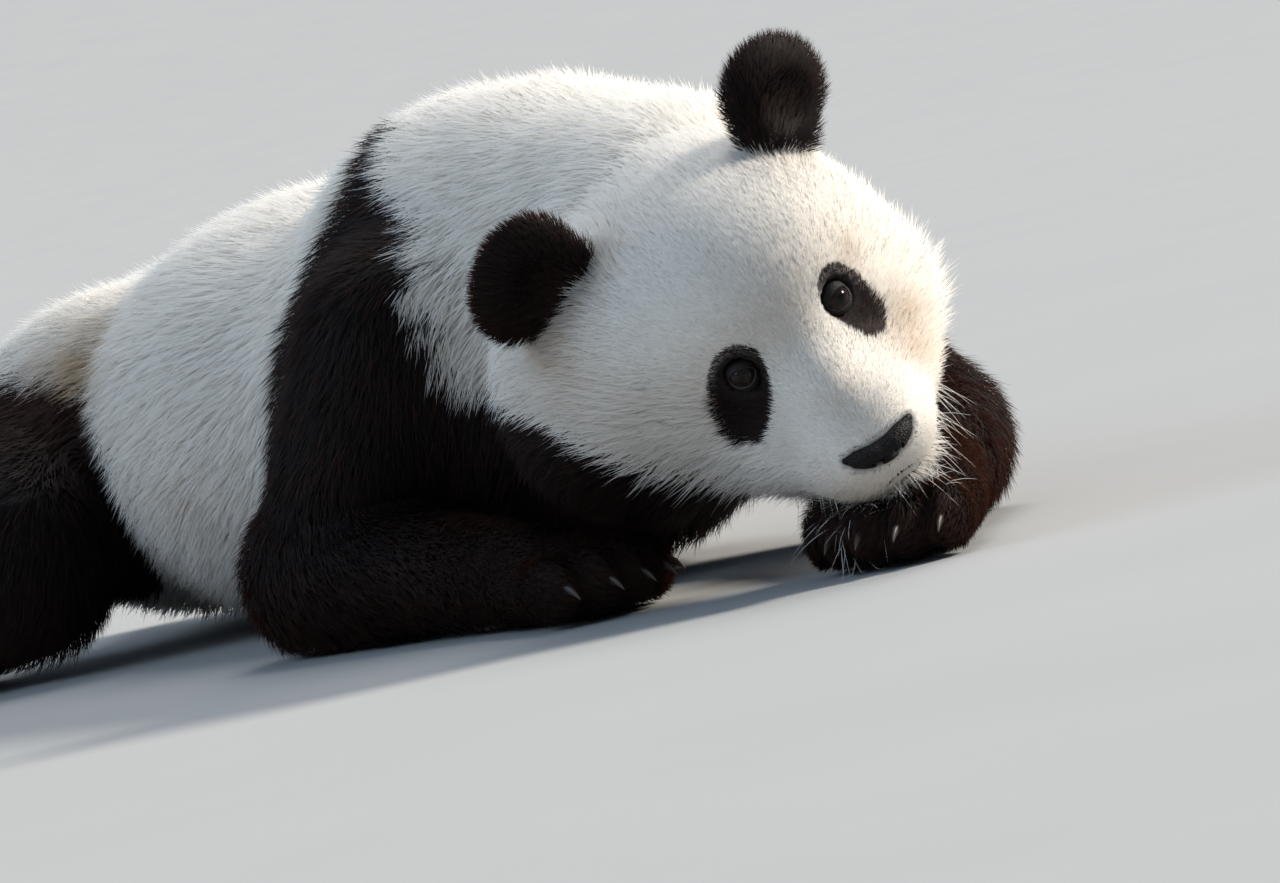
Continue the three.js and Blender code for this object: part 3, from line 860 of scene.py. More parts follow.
def mixed(tree, share, first, second, how="MIX"):
    """A colour mix. The share is a socket or a number, and each colour a socket or three numbers."""
    mix = node(tree, "ShaderNodeMix", data_type="RGBA", blend_type=how)
    first, second = [(*colour, 1) if isinstance(colour, tuple) else colour for colour in (first, second)]
    feed(tree, mix, {"Factor": share, "A": first, "B": second})
    return mix.outputs["Result"]


def attribute_parts(tree, name):
    """The first three numbers that the mesh carries at each point under a name."""
    parts = node(tree, "ShaderNodeSeparateColor")
    feed(tree, parts, {"Color": node(tree, "ShaderNodeAttribute", attribute_name=name).outputs["Color"]})
    return [parts.outputs[word] for word in ("Red", "Green", "Blue")]


def ramp(tree, source, *stops):
    """A colour ramp from (position, grey) stops."""
    made = node(tree, "ShaderNodeValToRGB")
    while len(made.color_ramp.elements) < len(stops):
        made.color_ramp.elements.new(0.5)
    for element, (position, grey) in zip(made.color_ramp.elements, stops):
        element.position = position
        element.color = (grey, grey, grey, 1)
    feed(tree, made, {"Fac": source})
    return made.outputs["Color"]


def bumped(tree, shader, height, strength, distance):
    """Small relief on a shader, as deep as the distance in metres."""
    bump = node(tree, "ShaderNodeBump")
    feed(tree, bump, {"Strength": strength, "Distance": distance, "Height": height})
    feed(tree, shader, {"Normal": bump.outputs["Normal"]})


def object_place(tree):
    """The point's place in the piece's own coordinates."""
    return node(tree, "ShaderNodeTexCoord").outputs["Object"]


def noise_texture(tree, scale, detail=3, stretch=(1, 1, 1)):
    """Noise in space, stretched per axis."""
    mapping = node(tree, "ShaderNodeMapping")
    feed(tree, mapping, {"Vector": object_place(tree), "Scale": stretch})
    made = node(tree, "ShaderNodeTexNoise")
    feed(tree, made, {"Vector": mapping.outputs["Vector"], "Scale": scale, "Detail": detail})
    return made.outputs["Fac"]


# %% Fur materials
def fur_material(name, root, tip, dark, stain_and_highlight, glow_colour, roughness, specular, sheen, translucency):
    """Root to tip by the strand's first number, tone by its second, stain by its third, on black hair
    partly a painted highlight.
    """
    material, tree, shader, output = new_material(name)
    along, tone, spot = attribute_parts(tree, "strand")
    colour = mixed(tree, along, root, tip)
    colour = mixed(tree, spot, colour, mixed(tree, 1.0, colour, stain_and_highlight, "MULTIPLY"))
    colour = mixed(tree, tone, mixed(tree, 1.0, colour, dark, "MULTIPLY"), colour)
    feed(tree, shader, {"Base Color": colour, "Roughness": roughness, "Specular IOR Level": specular})
    feed(tree, shader, {"Sheen Weight": sheen, "Sheen Roughness": 0.45})
    glow = node(tree, "ShaderNodeBsdfTranslucent")
    feed(tree, glow, {"Color": mixed(tree, 0.5, colour, glow_colour)})
    both = node(tree, "ShaderNodeMixShader")
    feed(tree, both, {"Fac": translucency, 1: shader.outputs["BSDF"], 2: glow.outputs["BSDF"]})
    feed(tree, output, {"Surface": both.outputs["Shader"]})
    return material


white_coat = fur_material(
    "white_coat",
    root=(0.80, 0.76, 0.70),
    tip=(0.95, 0.94, 0.92),
    dark=(0.90, 0.89, 0.88),
    stain_and_highlight=(0.56, 0.42, 0.28),
    glow_colour=(0.98, 0.94, 0.86),
    roughness=0.60,
    specular=0.22,
    sheen=0.15,
    translucency=0.46,
)
black_coat = fur_material(
    "black_coat",
    root=(0.006, 0.005, 0.005),
    tip=(0.022, 0.014, 0.012),
    dark=(0.50, 0.50, 0.56),
    # Lightens black hair to brown: a real stain where the staining reaches, and a painted highlight on
    # the few glinting black tufts.
    stain_and_highlight=(4.2, 2.2, 1.5),
    glow_colour=(0.15, 0.055, 0.030),
    roughness=0.62,
    specular=0.12,
    sheen=0.0,
    translucency=0.20,
)
bristle_coat = fur_material(
    "bristle",
    root=(0.80, 0.77, 0.70),
    tip=(0.95, 0.93, 0.90),
    dark=(0.9, 0.9, 0.9),
    stain_and_highlight=(0.8, 0.7, 0.5),
    glow_colour=(0.98, 0.95, 0.90),
    roughness=0.35,
    specular=0.22,
    sheen=0.0,
    translucency=0.3,
)


# %% Skin material
def skin_material():
    """Skin under the hair: the coat's own markings, darker, with fine streaks of short down."""
    material, tree, shader, _ = new_material("skin")
    blackness, spot, _ = attribute_parts(tree, "marking")
    streaks = noise_texture(tree, 260, 4, (0.35, 1, 1))
    lines = ramp(tree, streaks, (0.35, 0.0), (0.7, 1.0))
    pale = mixed(tree, lines, (0.66, 0.62, 0.57), (0.82, 0.79, 0.75))
    pale = mixed(tree, spot, pale, mixed(tree, 1.0, pale, (0.6, 0.45, 0.32), "MULTIPLY"))
    black = mixed(tree, streaks, (0.004, 0.0035, 0.0035), (0.014, 0.010, 0.009))
    colour = mixed(tree, blackness, pale, black)
    feed(tree, shader, {"Base Color": colour, "Roughness": 0.8, "Specular IOR Level": 0.2})
    bumped(tree, shader, streaks, 0.5, 0.002)
    return material


skin_look = skin_material()

# %% [markdown]
# ## The skin
#
# One closed surface stands for all the nodes of flesh, so no seam shows between head, trunk and legs.

# %% Mesh the skin
GRID = [
    ladder((-770, 12), (400, 5.6), (690, 4.0), (830, 6)),
    ladder((-500, 12), (-292, 5.6), (-160, 4.0), (10, 5.6), (118, 12), (500, 12)),
    ladder((-7, 8), (49, 4.4), (189, 5.6), (449, 8), (481, 8)),
]
grid_values = skin_field(*crossed_lines([lines.astype(np.float32) for lines in GRID]))
fill_crossed_faces(grid_values, 1.0)
skin_points, skin_quads = surface_net(grid_values, GRID)
skin_points = settled(skin_field, skin_points)
skin_normals = unit(slope_of(skin_field, skin_points))
print("skin grid", grid_values.shape, "points", len(skin_points), "quads", len(skin_quads))

FLESH = [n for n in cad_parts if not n.startswith(("eye", "nose", "fore_claw", "hind_claw"))]
MARKING_FADE = 5.0  # half the width over which the skin goes from white to black
skin_mesh = mesh_from("skin", skin_points, [skin_quads])
skin_dark = darkness(marked_at(skin_points, skin_normals), skin_points)
unused, opaque = np.zeros(len(skin_points)), np.ones(len(skin_points))
skin_marks = [smooth_step(-MARKING_FADE, MARKING_FADE, skin_dark), staining(skin_points), unused, opaque]
colour_attribute(skin_mesh, "marking", np.stack(skin_marks, axis=1))
skin = finish_piece(skin_mesh, skin_look, FLESH)
print("skin from", skin_points.min(axis=0).round(), "to", skin_points.max(axis=0).round())
print("nodes that it stands for", len(FLESH))

# %% [markdown]
# ## The nose
#
# A panda's nose is a broad black pad of pebbled leather with two comma-shaped nostrils that curl out to
# its corners, and a groove that runs down from it to the lip. It is modelled like the body, as a small
# field: the pad, less the nostrils, plus a rounded wing above each. A finer grid keeps its edges.

# %% Nose
nostrils = [nose_bar([14, side * 6.5, -6], [3, side * 26, -5], 3.6, 2.0) for side in (1, -1)]
nostrils += [nose_bar([5, side * 8, -6], [-4, side * 18, -5], 4.8, 3.2) for side in (1, -1)]
philtrum = nose_bar([16, 0, -8], [11, 0, -18], 1.3, 1.6)
NOSTRIL_ROUNDING = 2.5


def nose_field(x, y, z):
    """The pad with the nostrils and the groove smoothly taken out."""
    value = nose_pad(x, y, z)
    for hollow in (*nostrils, philtrum):
        value = -joined(-value, hollow(x, y, z), NOSTRIL_ROUNDING)
    return value


def net_around(field, middle, reach, step):
    """A surface net of a small field in a box about its middle."""
    lines = [ladder((m - r, step), (m + r, step)) for m, r in zip(middle, reach)]
    values = field(*crossed_lines(lines))
    fill_crossed_faces(values, 0.2)
    points, quads = surface_net(values, lines)
    return settled(field, points, most=step / 2), quads


def nose_leather():
    """Near-black leather in small pebbles, a little shiny where it is moist."""
    material, tree, shader, _ = new_material("nose_leather")
    pebbles = node(tree, "ShaderNodeTexVoronoi")
    feed(tree, pebbles, {"Vector": object_place(tree), "Scale": 520})
    crack = ramp(tree, pebbles.outputs["Distance"], (0.0, 1.0), (0.75, 0.0))
    blotch = noise_texture(tree, 90)
    colour = mixed(tree, blotch, (0.006, 0.005, 0.005), (0.020, 0.015, 0.015))
    colour = mixed(tree, crack, (0.004, 0.003, 0.003), colour)
    roughness = ramp(tree, blotch, (0.3, 0.42), (0.7, 0.60))
    feed(tree, shader, {"Base Color": colour, "Roughness": roughness, "Specular IOR Level": 0.14})
    bumped(tree, shader, crack, 0.7, 0.0010)
    return material


nose_points, nose_quads = net_around(nose_field, on_head(NOSE), (46, 46, 40), 1.15)
leather = nose_leather()
finish_piece(mesh_from("nose_pad", nose_points, [nose_quads]), leather, ["nose"])
print("nose quads", len(nose_quads))


# %% [markdown]
# ## Eyes
#
# Each eye is a full ball with a clearer bulge in front, the cornea. Its colour is read from where each
# point lies about the line of sight: a dark pupil, brown fibres round it, a darker rim, and then a
# brownish white that the lids nearly hide.

# %% Eyeballs
def around(axis):
    """Two directions square to an axis, the first as level as can be."""
    across = unit(np.cross(axis, HEAD_AXES[2]))
    return across, np.cross(across, axis)


def polar_grid(middle, axis, polar, radius, steps_round):
    """Points at each polar angle and radius about an axis, for each of some turns round it."""
    across, over = around(axis)
    turn = np.arange(steps_round) * 2 * np.pi / steps_round
    round_way = np.cos(turn)[:, None] * across + np.sin(turn)[:, None] * over
    out = np.sin(polar)[..., None] * round_way[:, None, :] + np.cos(polar)[..., None] * axis
    return middle + out * radius[..., None], turn


def rings_closed(steps_round, steps_along, closed_along):
    """Quads between neighbours in a grid that closes round itself, and along itself if asked."""
    i = np.arange(steps_round)[:, None]
    j = np.arange(steps_along if closed_along else steps_along - 1)[None, :]
    next_i, next_j = (i + 1) % steps_round, (j + 1) % steps_along
    turns_and_steps = ((i, j), (i, next_j), (next_i, next_j), (next_i, j))
    return np.stack([(a * steps_along + b).ravel() for a, b in turns_and_steps], axis=1)


BALL_ROUND, BALL_ALONG = 56, 40
CORNEA_HEIGHT = 0.9
CORNEA_SPREAD = np.radians(30)


def eyeball(side):
    """The ball's radius plus a bell of the polar angle for the cornea, with a fan at each pole."""
    polar = np.linspace(0, np.pi, BALL_ALONG + 2)[1:-1]
    radius = EYE_RADIUS + CORNEA_HEIGHT * np.exp(-((polar / CORNEA_SPREAD) ** 2))
    spread = [np.broadcast_to(values, (BALL_ROUND, BALL_ALONG)) for values in (polar, radius)]
    grid, turn = polar_grid(EYE_PLACES[side], GAZES[side], *spread, BALL_ROUND)
    poles = EYE_PLACES[side] + np.outer([EYE_RADIUS + CORNEA_HEIGHT, -EYE_RADIUS], GAZES[side])
    points = np.concatenate([grid.reshape(-1, 3), poles])
    quads = rings_closed(BALL_ROUND, BALL_ALONG, False)
    ring = np.arange(BALL_ROUND) * BALL_ALONG
    after = np.roll(ring, -1)
    front_pole, back_pole = [np.full(BALL_ROUND, len(points) - back) for back in (2, 1)]
    front = np.stack([after, front_pole, ring], axis=1)
    last = BALL_ALONG - 1
    back = np.stack([ring + last, back_pole, after + last], axis=1)
    sight = np.zeros((len(points), 4))
    sight[:-2, 0] = np.tile(polar / np.pi, BALL_ROUND)
    sight[:-2, 1] = np.repeat(np.cos(turn), BALL_ALONG) * 0.5 + 0.5
    sight[:-2, 2] = np.repeat(np.sin(turn), BALL_ALONG) * 0.5 + 0.5
    sight[-1, 0] = 1.0
    return points, quads, np.concatenate([front, back]), sight


def eye_glass():
    """Rings of colour by the angle from the line of sight, under a clear wet coat."""
    material, tree, shader, _ = new_material("eye")
    angle, across, over = attribute_parts(tree, "sight")
    round_way = node(tree, "ShaderNodeCombineXYZ")
    feed(tree, round_way, {"X": across, "Y": over})
    fibres = node(tree, "ShaderNodeTexNoise")
    feed(tree, fibres, {"Vector": round_way.outputs["Vector"], "Scale": 26})
    iris = mixed(tree, fibres.outputs["Fac"], (0.004, 0.003, 0.003), (0.020, 0.010, 0.007))
    pupil = ramp(tree, angle, (0.070, 0.0), (0.085, 1.0))
    rim = ramp(tree, angle, (0.185, 1.0), (0.215, 0.0))
    colour = mixed(tree, pupil, (0.002, 0.002, 0.002), iris)
    colour = mixed(tree, rim, (0.012, 0.008, 0.007), colour)
    feed(tree, shader, {"Base Color": colour, "Roughness": 0.3, "Specular IOR Level": 0.0})
    feed(tree, shader, {"Coat Weight": 0.55, "Coat Roughness": 0.03, "Coat IOR": 1.36})
    return material


eye_look = eye_glass()
SIDE_WORDS = ((1, "left"), (-1, "right"))
for side, word in SIDE_WORDS:
    points, quads, fans, sight = eyeball(side)
    mesh = mesh_from(f"eyeball_{word}", points, [quads, fans])
    colour_attribute(mesh, "sight", sight)
    finish_piece(mesh, eye_look, [f"eye_{word}"])

# %% [markdown]
# ## Eyelids
#
# The lids are a thick ring of dark skin with an almond opening. Seen in section the ring starts on the
# ball, rolls over a moist edge, dips in a crease and swells again into the brow. That section is
# carried round the line of sight, wider at the corners of the eye than above and below, so one grid
# makes both lids and both corners.

# %% Eyelids
LID_ROUND = 96
LID_WIDE, LID_HIGH, LID_LOW = np.radians([58, 34, 45])  # half angles of the opening: aside, up, down
LID_SECTION = np.array(  # degrees past the opening's edge, and distance from the ball's middle
    [
        *[[-1, 11.6], [-3, 12.4], [-1, 13.0], [3, 13.4]],  # the moist edge
        *[[8, 13.3], [13, 13.6], [19, 14.0], [28, 14.4], [42, 14.3]],  # the crease and the brow
        *[[62, 13.0], [50, 11.4], [24, 11.2]],  # back under the skin to the ball
    ]
)
LID_MOIST = np.array([1, 1, 0.25, 0, 0, 0, 0, 0, 0, 0, 0, 1.0])  # how wet and pale each step is


def eyelids(side):
    """Opening angle: half an ellipse above and half below. Section: LID_SECTION added to that angle."""
    turn = np.arange(LID_ROUND) * 2 * np.pi / LID_ROUND
    tall = np.where(np.sin(turn) > 0, LID_HIGH, LID_LOW)
    opening = 1 / np.sqrt((np.cos(turn) / LID_WIDE) ** 2 + (np.sin(turn) / tall) ** 2)
    opening = opening + np.radians(6) * np.abs(np.cos(turn)) ** 12
    polar = opening[:, None] + np.radians(LID_SECTION[:, 0])[None, :]
    outer = smooth_step(12.9, 13.5, LID_SECTION[:, 1])[None, :]
    folds = 0.16 * np.sin(polar * 46) * outer
    brow = 0.8 * smooth_step(0.1, 1.0, np.sin(turn))[:, None] * outer
    radius = LID_SECTION[None, :, 1] + folds + brow
    grid, _ = polar_grid(EYE_PLACES[side], GAZES[side], polar, radius, LID_ROUND)
    return grid.reshape(-1, 3), rings_closed(LID_ROUND, len(LID_SECTION), True)


def lid_leather():
    """Black, finely wrinkled skin, greyer and wetter along the lids' edges."""
    material, tree, shader, _ = new_material("lid_skin")
    wrinkles = noise_texture(tree, 700, 5)
    moist = node(tree, "ShaderNodeAttribute", attribute_name="moist").outputs["Fac"]
    dry = mixed(tree, wrinkles, (0.004, 0.003, 0.003), (0.012, 0.009, 0.009))
    colour = mixed(tree, moist, dry, (0.055, 0.042, 0.046))
    roughness = ramp(tree, moist, (0.0, 0.62), (1.0, 0.35))
    feed(tree, shader, {"Base Color": colour, "Roughness": roughness, "Specular IOR Level": 0.25})
    bumped(tree, shader, wrinkles, 0.8, 0.0010)
    return material


def moisture(mesh, values):
    """How moist each point is, for the lids' and lips' finish."""
    colour_attribute(mesh, "moist", np.repeat(values[:, None], 4, axis=1))


lid_look = lid_leather()
for side, word in SIDE_WORDS:
    points, quads = eyelids(side)
    mesh = mesh_from(f"eyelids_{word}", points, [quads])
    lower = smooth_step(0.3, -0.5, np.sin(np.arange(LID_ROUND) * 2 * np.pi / LID_ROUND))
    moisture(mesh, np.outer(lower, LID_MOIST).ravel())
    finish_piece(mesh, lid_look)
print("eyelid quads", len(quads), "an eye")


# %% [markdown]
# ## Lips, claws and bristles
#
# These three are all thin tapering rods that follow a curve, so one function makes them: a ring of
# points round each step of each path, joined by quads and closed with a fan at either end.

# %% Rods along many paths at once
def rods(paths, half_sizes, ups, sides):
    """Centre + across cos a half width + over sin a half height, where over leans to the given up."""
    count, steps, _ = paths.shape
    ahead = unit(np.gradient(paths, axis=1))
    across = unit(np.cross(ahead, ups[:, None, :]))
    over = np.cross(across, ahead)
    a = np.arange(sides) * 2 * np.pi / sides
    wide = across[:, :, None] * np.cos(a)[:, None] * half_sizes[..., 0, None, None]
    tall = over[:, :, None] * np.sin(a)[:, None] * half_sizes[..., 1, None, None]
    rings = paths[:, :, None] + wide + tall
    points = np.concatenate([rings.reshape(count, -1, 3), paths[:, :1], paths[:, -1:]], axis=1)
    each = points.shape[1]
    i, j = np.meshgrid(np.arange(steps - 1) * sides, np.arange(sides), indexing="ij")
    k = (j + 1) % sides
    quad = np.stack([i + j, i + sides + j, i + sides + k, i + k], axis=-1).reshape(-1, 4)
    ring = np.arange(sides)
    after = np.roll(ring, -1)
    top = (steps - 1) * sides
    root_fan = np.stack([np.full(sides, each - 2), ring, after], axis=1)
    tip_fan = np.stack([np.full(sides, each - 1), top + after, top + ring], axis=1)
    base = np.arange(count)[:, None, None] * each
    fans = np.concatenate([root_fan, tip_fan])
    return points.reshape(-1, 3), (base + quad).reshape(-1, 4), (base + fans).reshape(-1, 3)


# %% Lips
LIP_STEPS, LIP_SIDES = 60, 10
LIP_REACH = 58.0  # from the middle to each corner of the mouth
UPPER_LIP, LOWER_LIP = -1.4, 2.2  # how far below the crease each edge runs


def lip_path(drop):
    """The mouth's crease from corner to corner, laid on the skin, lowered by drop."""
    left = np.linspace(-LIP_REACH, LIP_REACH, LIP_STEPS)
    guess = on_head(np.stack([222 - 0.026 * left**2, left, mouth_height(left) - drop], axis=1))
    return settled(skin_field, guess, most=30, rounds=8)


def lips():
    """An upper and a lower lip edge, thickest in the middle and fading at the corners."""
    paths = np.stack([lip_path(UPPER_LIP), lip_path(LOWER_LIP)])
    taper = np.sin(np.linspace(0.05, np.pi - 0.05, LIP_STEPS)) ** 0.4
    half_sizes = np.stack([taper * 1.5, taper * 1.3], axis=-1)
    both = np.broadcast_to(half_sizes, (2, LIP_STEPS, 2))
    return rods(paths, both, np.stack([HEAD_AXES[2]] * 2), LIP_SIDES)


lip_points, lip_quads, lip_fans = lips()
lip_mesh = mesh_from("lips", lip_points, [lip_quads, lip_fans])
moisture(lip_mesh, np.full(len(lip_points), 0.12))
finish_piece(lip_mesh, lid_look)


# %% Claws
CLAW_LENGTH = 27.0
CLAW_HALF_WIDTH, CLAW_HALF_HEIGHT = 3.4, 5.0  # at the root
CLAW_CURVE = np.radians(50)
CLAW_STEPS, CLAW_SIDES = 12, 12
UP = np.array([0, 0, 1.0])


def claw_roots():
    """Where each claw leaves its toe, and which way it points."""
    starts, ways = [], []
    for paw in PAWS:
        _, _, heading, length, _, _ = paw
        for toe, spread in zip(paw_places(*paw)[1], TOES * 4.0):
            way = turned(heading + spread, 0, 0)[0]
            starts.append(toe + way * (length * 0.2 - 14) + [0, 0, 2])
            ways.append(way)
    return np.array(starts), np.array(ways)


def claws():
    """An arc that leaves level, turns down by CLAW_CURVE, and thins to a blunt tip."""
    starts, ways = claw_roots()
    t = np.linspace(0, 1, CLAW_STEPS)
    turn = CLAW_CURVE * t
    ahead = np.cumsum(np.cos(turn)) / CLAW_STEPS * CLAW_LENGTH
    down = np.cumsum(np.sin(turn)) / CLAW_STEPS * CLAW_LENGTH
    paths = starts[:, None] + ahead[:, None] * ways[:, None] - down[:, None] * UP
    paths[..., 2] = np.maximum(paths[..., 2], 3.0 + 3.0 * (1 - t))
    taper = (1 - t**1.6) * 0.95 + 0.05
    half_sizes = np.stack([CLAW_HALF_WIDTH * taper, CLAW_HALF_HEIGHT * taper], axis=-1)
    every = np.broadcast_to(half_sizes, (len(starts), CLAW_STEPS, 2))
    return rods(paths, every, np.tile(UP, (len(starts), 1)), CLAW_SIDES), t


def claw_horn():
    """Dark grey horn with fine lines along it, paler and clearer towards the tip."""
    material, tree, shader, _ = new_material("claw_horn")
    along = node(tree, "ShaderNodeAttribute", attribute_name="along").outputs["Fac"]
    lines = noise_texture(tree, 420, 3, (0.4, 1, 3))
    horn = mixed(tree, lines, (0.014, 0.011, 0.010), (0.036, 0.028, 0.024))
    colour = mixed(tree, along, horn, (0.075, 0.058, 0.047))
    feed(tree, shader, {"Base Color": colour, "Roughness": 0.42, "Specular IOR Level": 0.3})
    bumped(tree, shader, lines, 0.3, 0.0005)
    return material


(claw_points, claw_quads, claw_fans), claw_share = claws()
claw_mesh = mesh_from("claws", claw_points, [claw_quads, claw_fans])
CLAW_NODES = [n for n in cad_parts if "_claw_" in n]
ends = [0.0, 1.0]
one_claw = np.concatenate([np.repeat(claw_share**2, CLAW_SIDES), ends])
every_claw = np.tile(one_claw, len(CLAW_NODES))
colour_attribute(claw_mesh, "along", np.stack([every_claw] * 3 + [np.ones(len(every_claw))], axis=1))
finish_piece(claw_mesh, claw_horn(), CLAW_NODES)
print("claws", len(CLAW_NODES), "triangles", 2 * len(claw_quads) + len(claw_fans))

# %% Bristles
BRISTLES, BRISTLE_STEPS, BRISTLE_SIDES = 280, 7, 4


def bristles():
    """Stiff white hairs on the chin and the sides of the muzzle, drooping as t squared."""
    pick = np.random.default_rng(21)
    f, l, u = in_head(skin_points).T
    low = (f > 96) & (u < mouth_height(l) + 4) & (u > -126) & (np.abs(l) < 70) & (f < 214)
    spots = pick.choice(np.nonzero(low)[0], BRISTLES, replace=False)
    at, normal = skin_points[spots], skin_normals[spots]
    droop = -HEAD_AXES[2] * 0.75 + HEAD_AXES[1] * np.sign(l[spots])[:, None] * 0.25
    way = unit(normal * 0.9 + droop + pick.normal(0, 0.36, (BRISTLES, 3)))
    length = pick.triangular(12, 22, 54, BRISTLES)[:, None, None]
    t = np.linspace(0, 1, BRISTLE_STEPS)[None, :, None]
    paths = at[:, None] + way[:, None] * length * t + np.array([0, 0, -0.28]) * length * t**2
    paths[..., 2] = np.maximum(paths[..., 2], 2.0)
    half = (0.24 * (1 - t[..., 0] ** 1.5) + 0.04) * np.ones((BRISTLES, 1))
    half_sizes = np.stack([half, half], axis=-1)
    return rods(paths, half_sizes, np.tile(HEAD_AXES[0], (BRISTLES, 1)), BRISTLE_SIDES)


bristle_points, bristle_quads, bristle_fans = bristles()
bristle_mesh = mesh_from("bristles", bristle_points, [bristle_quads, bristle_fans])
colour_attribute(bristle_mesh, "strand", np.tile([0.8, 0.8, 0.0, 1.0], (len(bristle_points), 1)))
finish_piece(bristle_mesh, bristle_coat)

# %% [markdown]
# ## Rooting the tufts
#
# Tufts dropped at random leave bald spots beside crowds. A low-discrepancy sequence spreads the roots
# of each quad of the skin evenly instead. How many a quad gets follows from the coat there: short fine
# hair needs many small tufts and long hair fewer large ones, so that every place is covered to the
# same depth.

# %% Roots over the skin
COVER = 3.3  # layers of tufts over any spot
SPREAD_STEP = np.array([0.7548777, 0.5698403])  # steps over a quad that never crowd
BLADE_FILL = 1.15  # a tuft's area, about, over its planned length times half width
rng = np.random.default_rng(7)


def coat_plan(points):
    """The mean length and half width of the tufts at each point, in millimetres."""
    length = hair_length(points)
    half_width = 0.24 + 0.0080 * length
    return length, half_width


def roots():
    """Positions and normals of all tufts, none of them on the eyelids or inside the nose."""
    a, b, c, d = [skin_points[skin_quads[:, i]] for i in range(4)]
    cross = np.cross(c - a, d - b)
    area, middle = np.linalg.norm(cross, axis=1) / 2, (a + b + c + d) / 4
    length, half_width = coat_plan(middle)
    density = COVER / (length * half_width * BLADE_FILL)
    facing = unit(cross)[:, 2]
    under = smooth_step(-0.60, -0.92, facing) * smooth_step(60, 25, middle[:, 2])
    wanted = area * density * (1 - 0.88 * under)
    count = np.floor(wanted + rng.random(len(wanted))).astype(int)
    quad = np.repeat(np.arange(len(count)), count)
    turn = np.arange(len(quad)) - (np.cumsum(count) - count)[quad]
    start = rng.random((len(count), 2))
    uv = (start[quad] + turn[:, None] * SPREAD_STEP) % 1.0
    corners = [skin_quads[quad, i] for i in range(4)]
    u, v = uv[:, :1], uv[:, 1:]
    weights = [(1 - u) * (1 - v), u * (1 - v), u * v, (1 - u) * v]
    place = sum(w * skin_points[c] for w, c in zip(weights, corners))
    normal = unit(sum(w * skin_normals[c] for w, c in zip(weights, corners)))
    bare = near_eyes(place)[1] < HOLLOW_RADIUS - 2.0
    bare |= at_points(nose_pad, place) < 1.5
    return place[~bare], normal[~bare]


root_points, root_normals = roots()
print("tufts", len(root_points))


# %% [markdown]
# ## One tuft, many times
#
# A tuft is a thin blade that leaves the skin steeply and then bends over until it lies almost flat, as
# combed hair does. Neighbouring tips are drawn together into locks. Each blade is turned a little
# about its own length, so that light catches each one differently, and its shading leans towards that
# of the skin, which keeps a dense coat soft.

# %% Blades from roots
ROOT_SUNK = 1.5
ALONG = np.array([0.0, 0.42, 1.0])  # where a blade's joints are
WIDE = (0.75, 1.0)  # its width at the first two, and the third is its tip
SOFT_SHADING = 0.90  # how far a blade's normals lean to the skin's


def locks(points, size):
    """The middle of the lock that each root belongs to: one jittered point in each lattice cell."""
    skew = turned(31, 17, 23)
    cells = np.floor(points @ skew.T / size).astype(np.int64)
    jitter = np.stack([hashed(cells, seed) for seed in (3, 5, 9)], axis=-1)
    return ((cells + 0.2 + 0.6 * jitter) * size) @ skew


def blades(points, normals, tuft):
    """Centre line: each stretch climbs by its lift. Sides: across the lie, turned by the twist."""
    lie, length = tuft["lie"], tuft["length"]
    side = np.cross(normals, lie)
    gather = locks(points, 7.0) - points
    pull = np.clip((gather * side).sum(axis=1), -0.09 * length, 0.09 * length)
    spine = [points - normals * ROOT_SUNK]
    for step, lift in zip(np.diff(ALONG), (tuft["lift_root"], tuft["lift_tip"])):
        way = lie * np.cos(lift)[:, None] + normals * np.sin(lift)[:, None]
        spine.append(spine[-1] + way * (length * step)[:, None] + side * (pull * step)[:, None])
    across = side * np.cos(tuft["twist"])[:, None] + normals * np.sin(tuft["twist"])[:, None]
    rows = []
    for centre, wide in zip(spine, WIDE):
        offset = across * (tuft["half_width"] * wide)[:, None]
        rows += [centre - offset, centre + offset]
    own = np.cross(lie, across)
    shading = unit(normals * SOFT_SHADING + own * (1 - SOFT_SHADING))
    return np.stack([*rows, spine[-1]], axis=1), shading


BLADE_QUAD = np.array([1, 0, 2, 3])
BLADE_TIP = np.array([3, 2, 4])
BLADE_CORNERS = 5
BLADE_TRIANGLES = 3


# %% Tufts' settings
def ear_nearness(points):
    """1 on the ears, where the coat stands out in a fluff."""
    return smooth_step(12, 2, nearest_of(ear_fields.values(), points))


def marking_edge(points):
    """How unevenly the markings end: less on short hair, and more on the haunches, where they fade."""
    ragged = np.clip(hair_length(points) / 40, 0.12, 1)
    haunch = smooth_step(-240, -320, points[:, 0]) * smooth_step(190, 240, points[:, 2])
    return ragged * (1 + 1.4 * haunch)


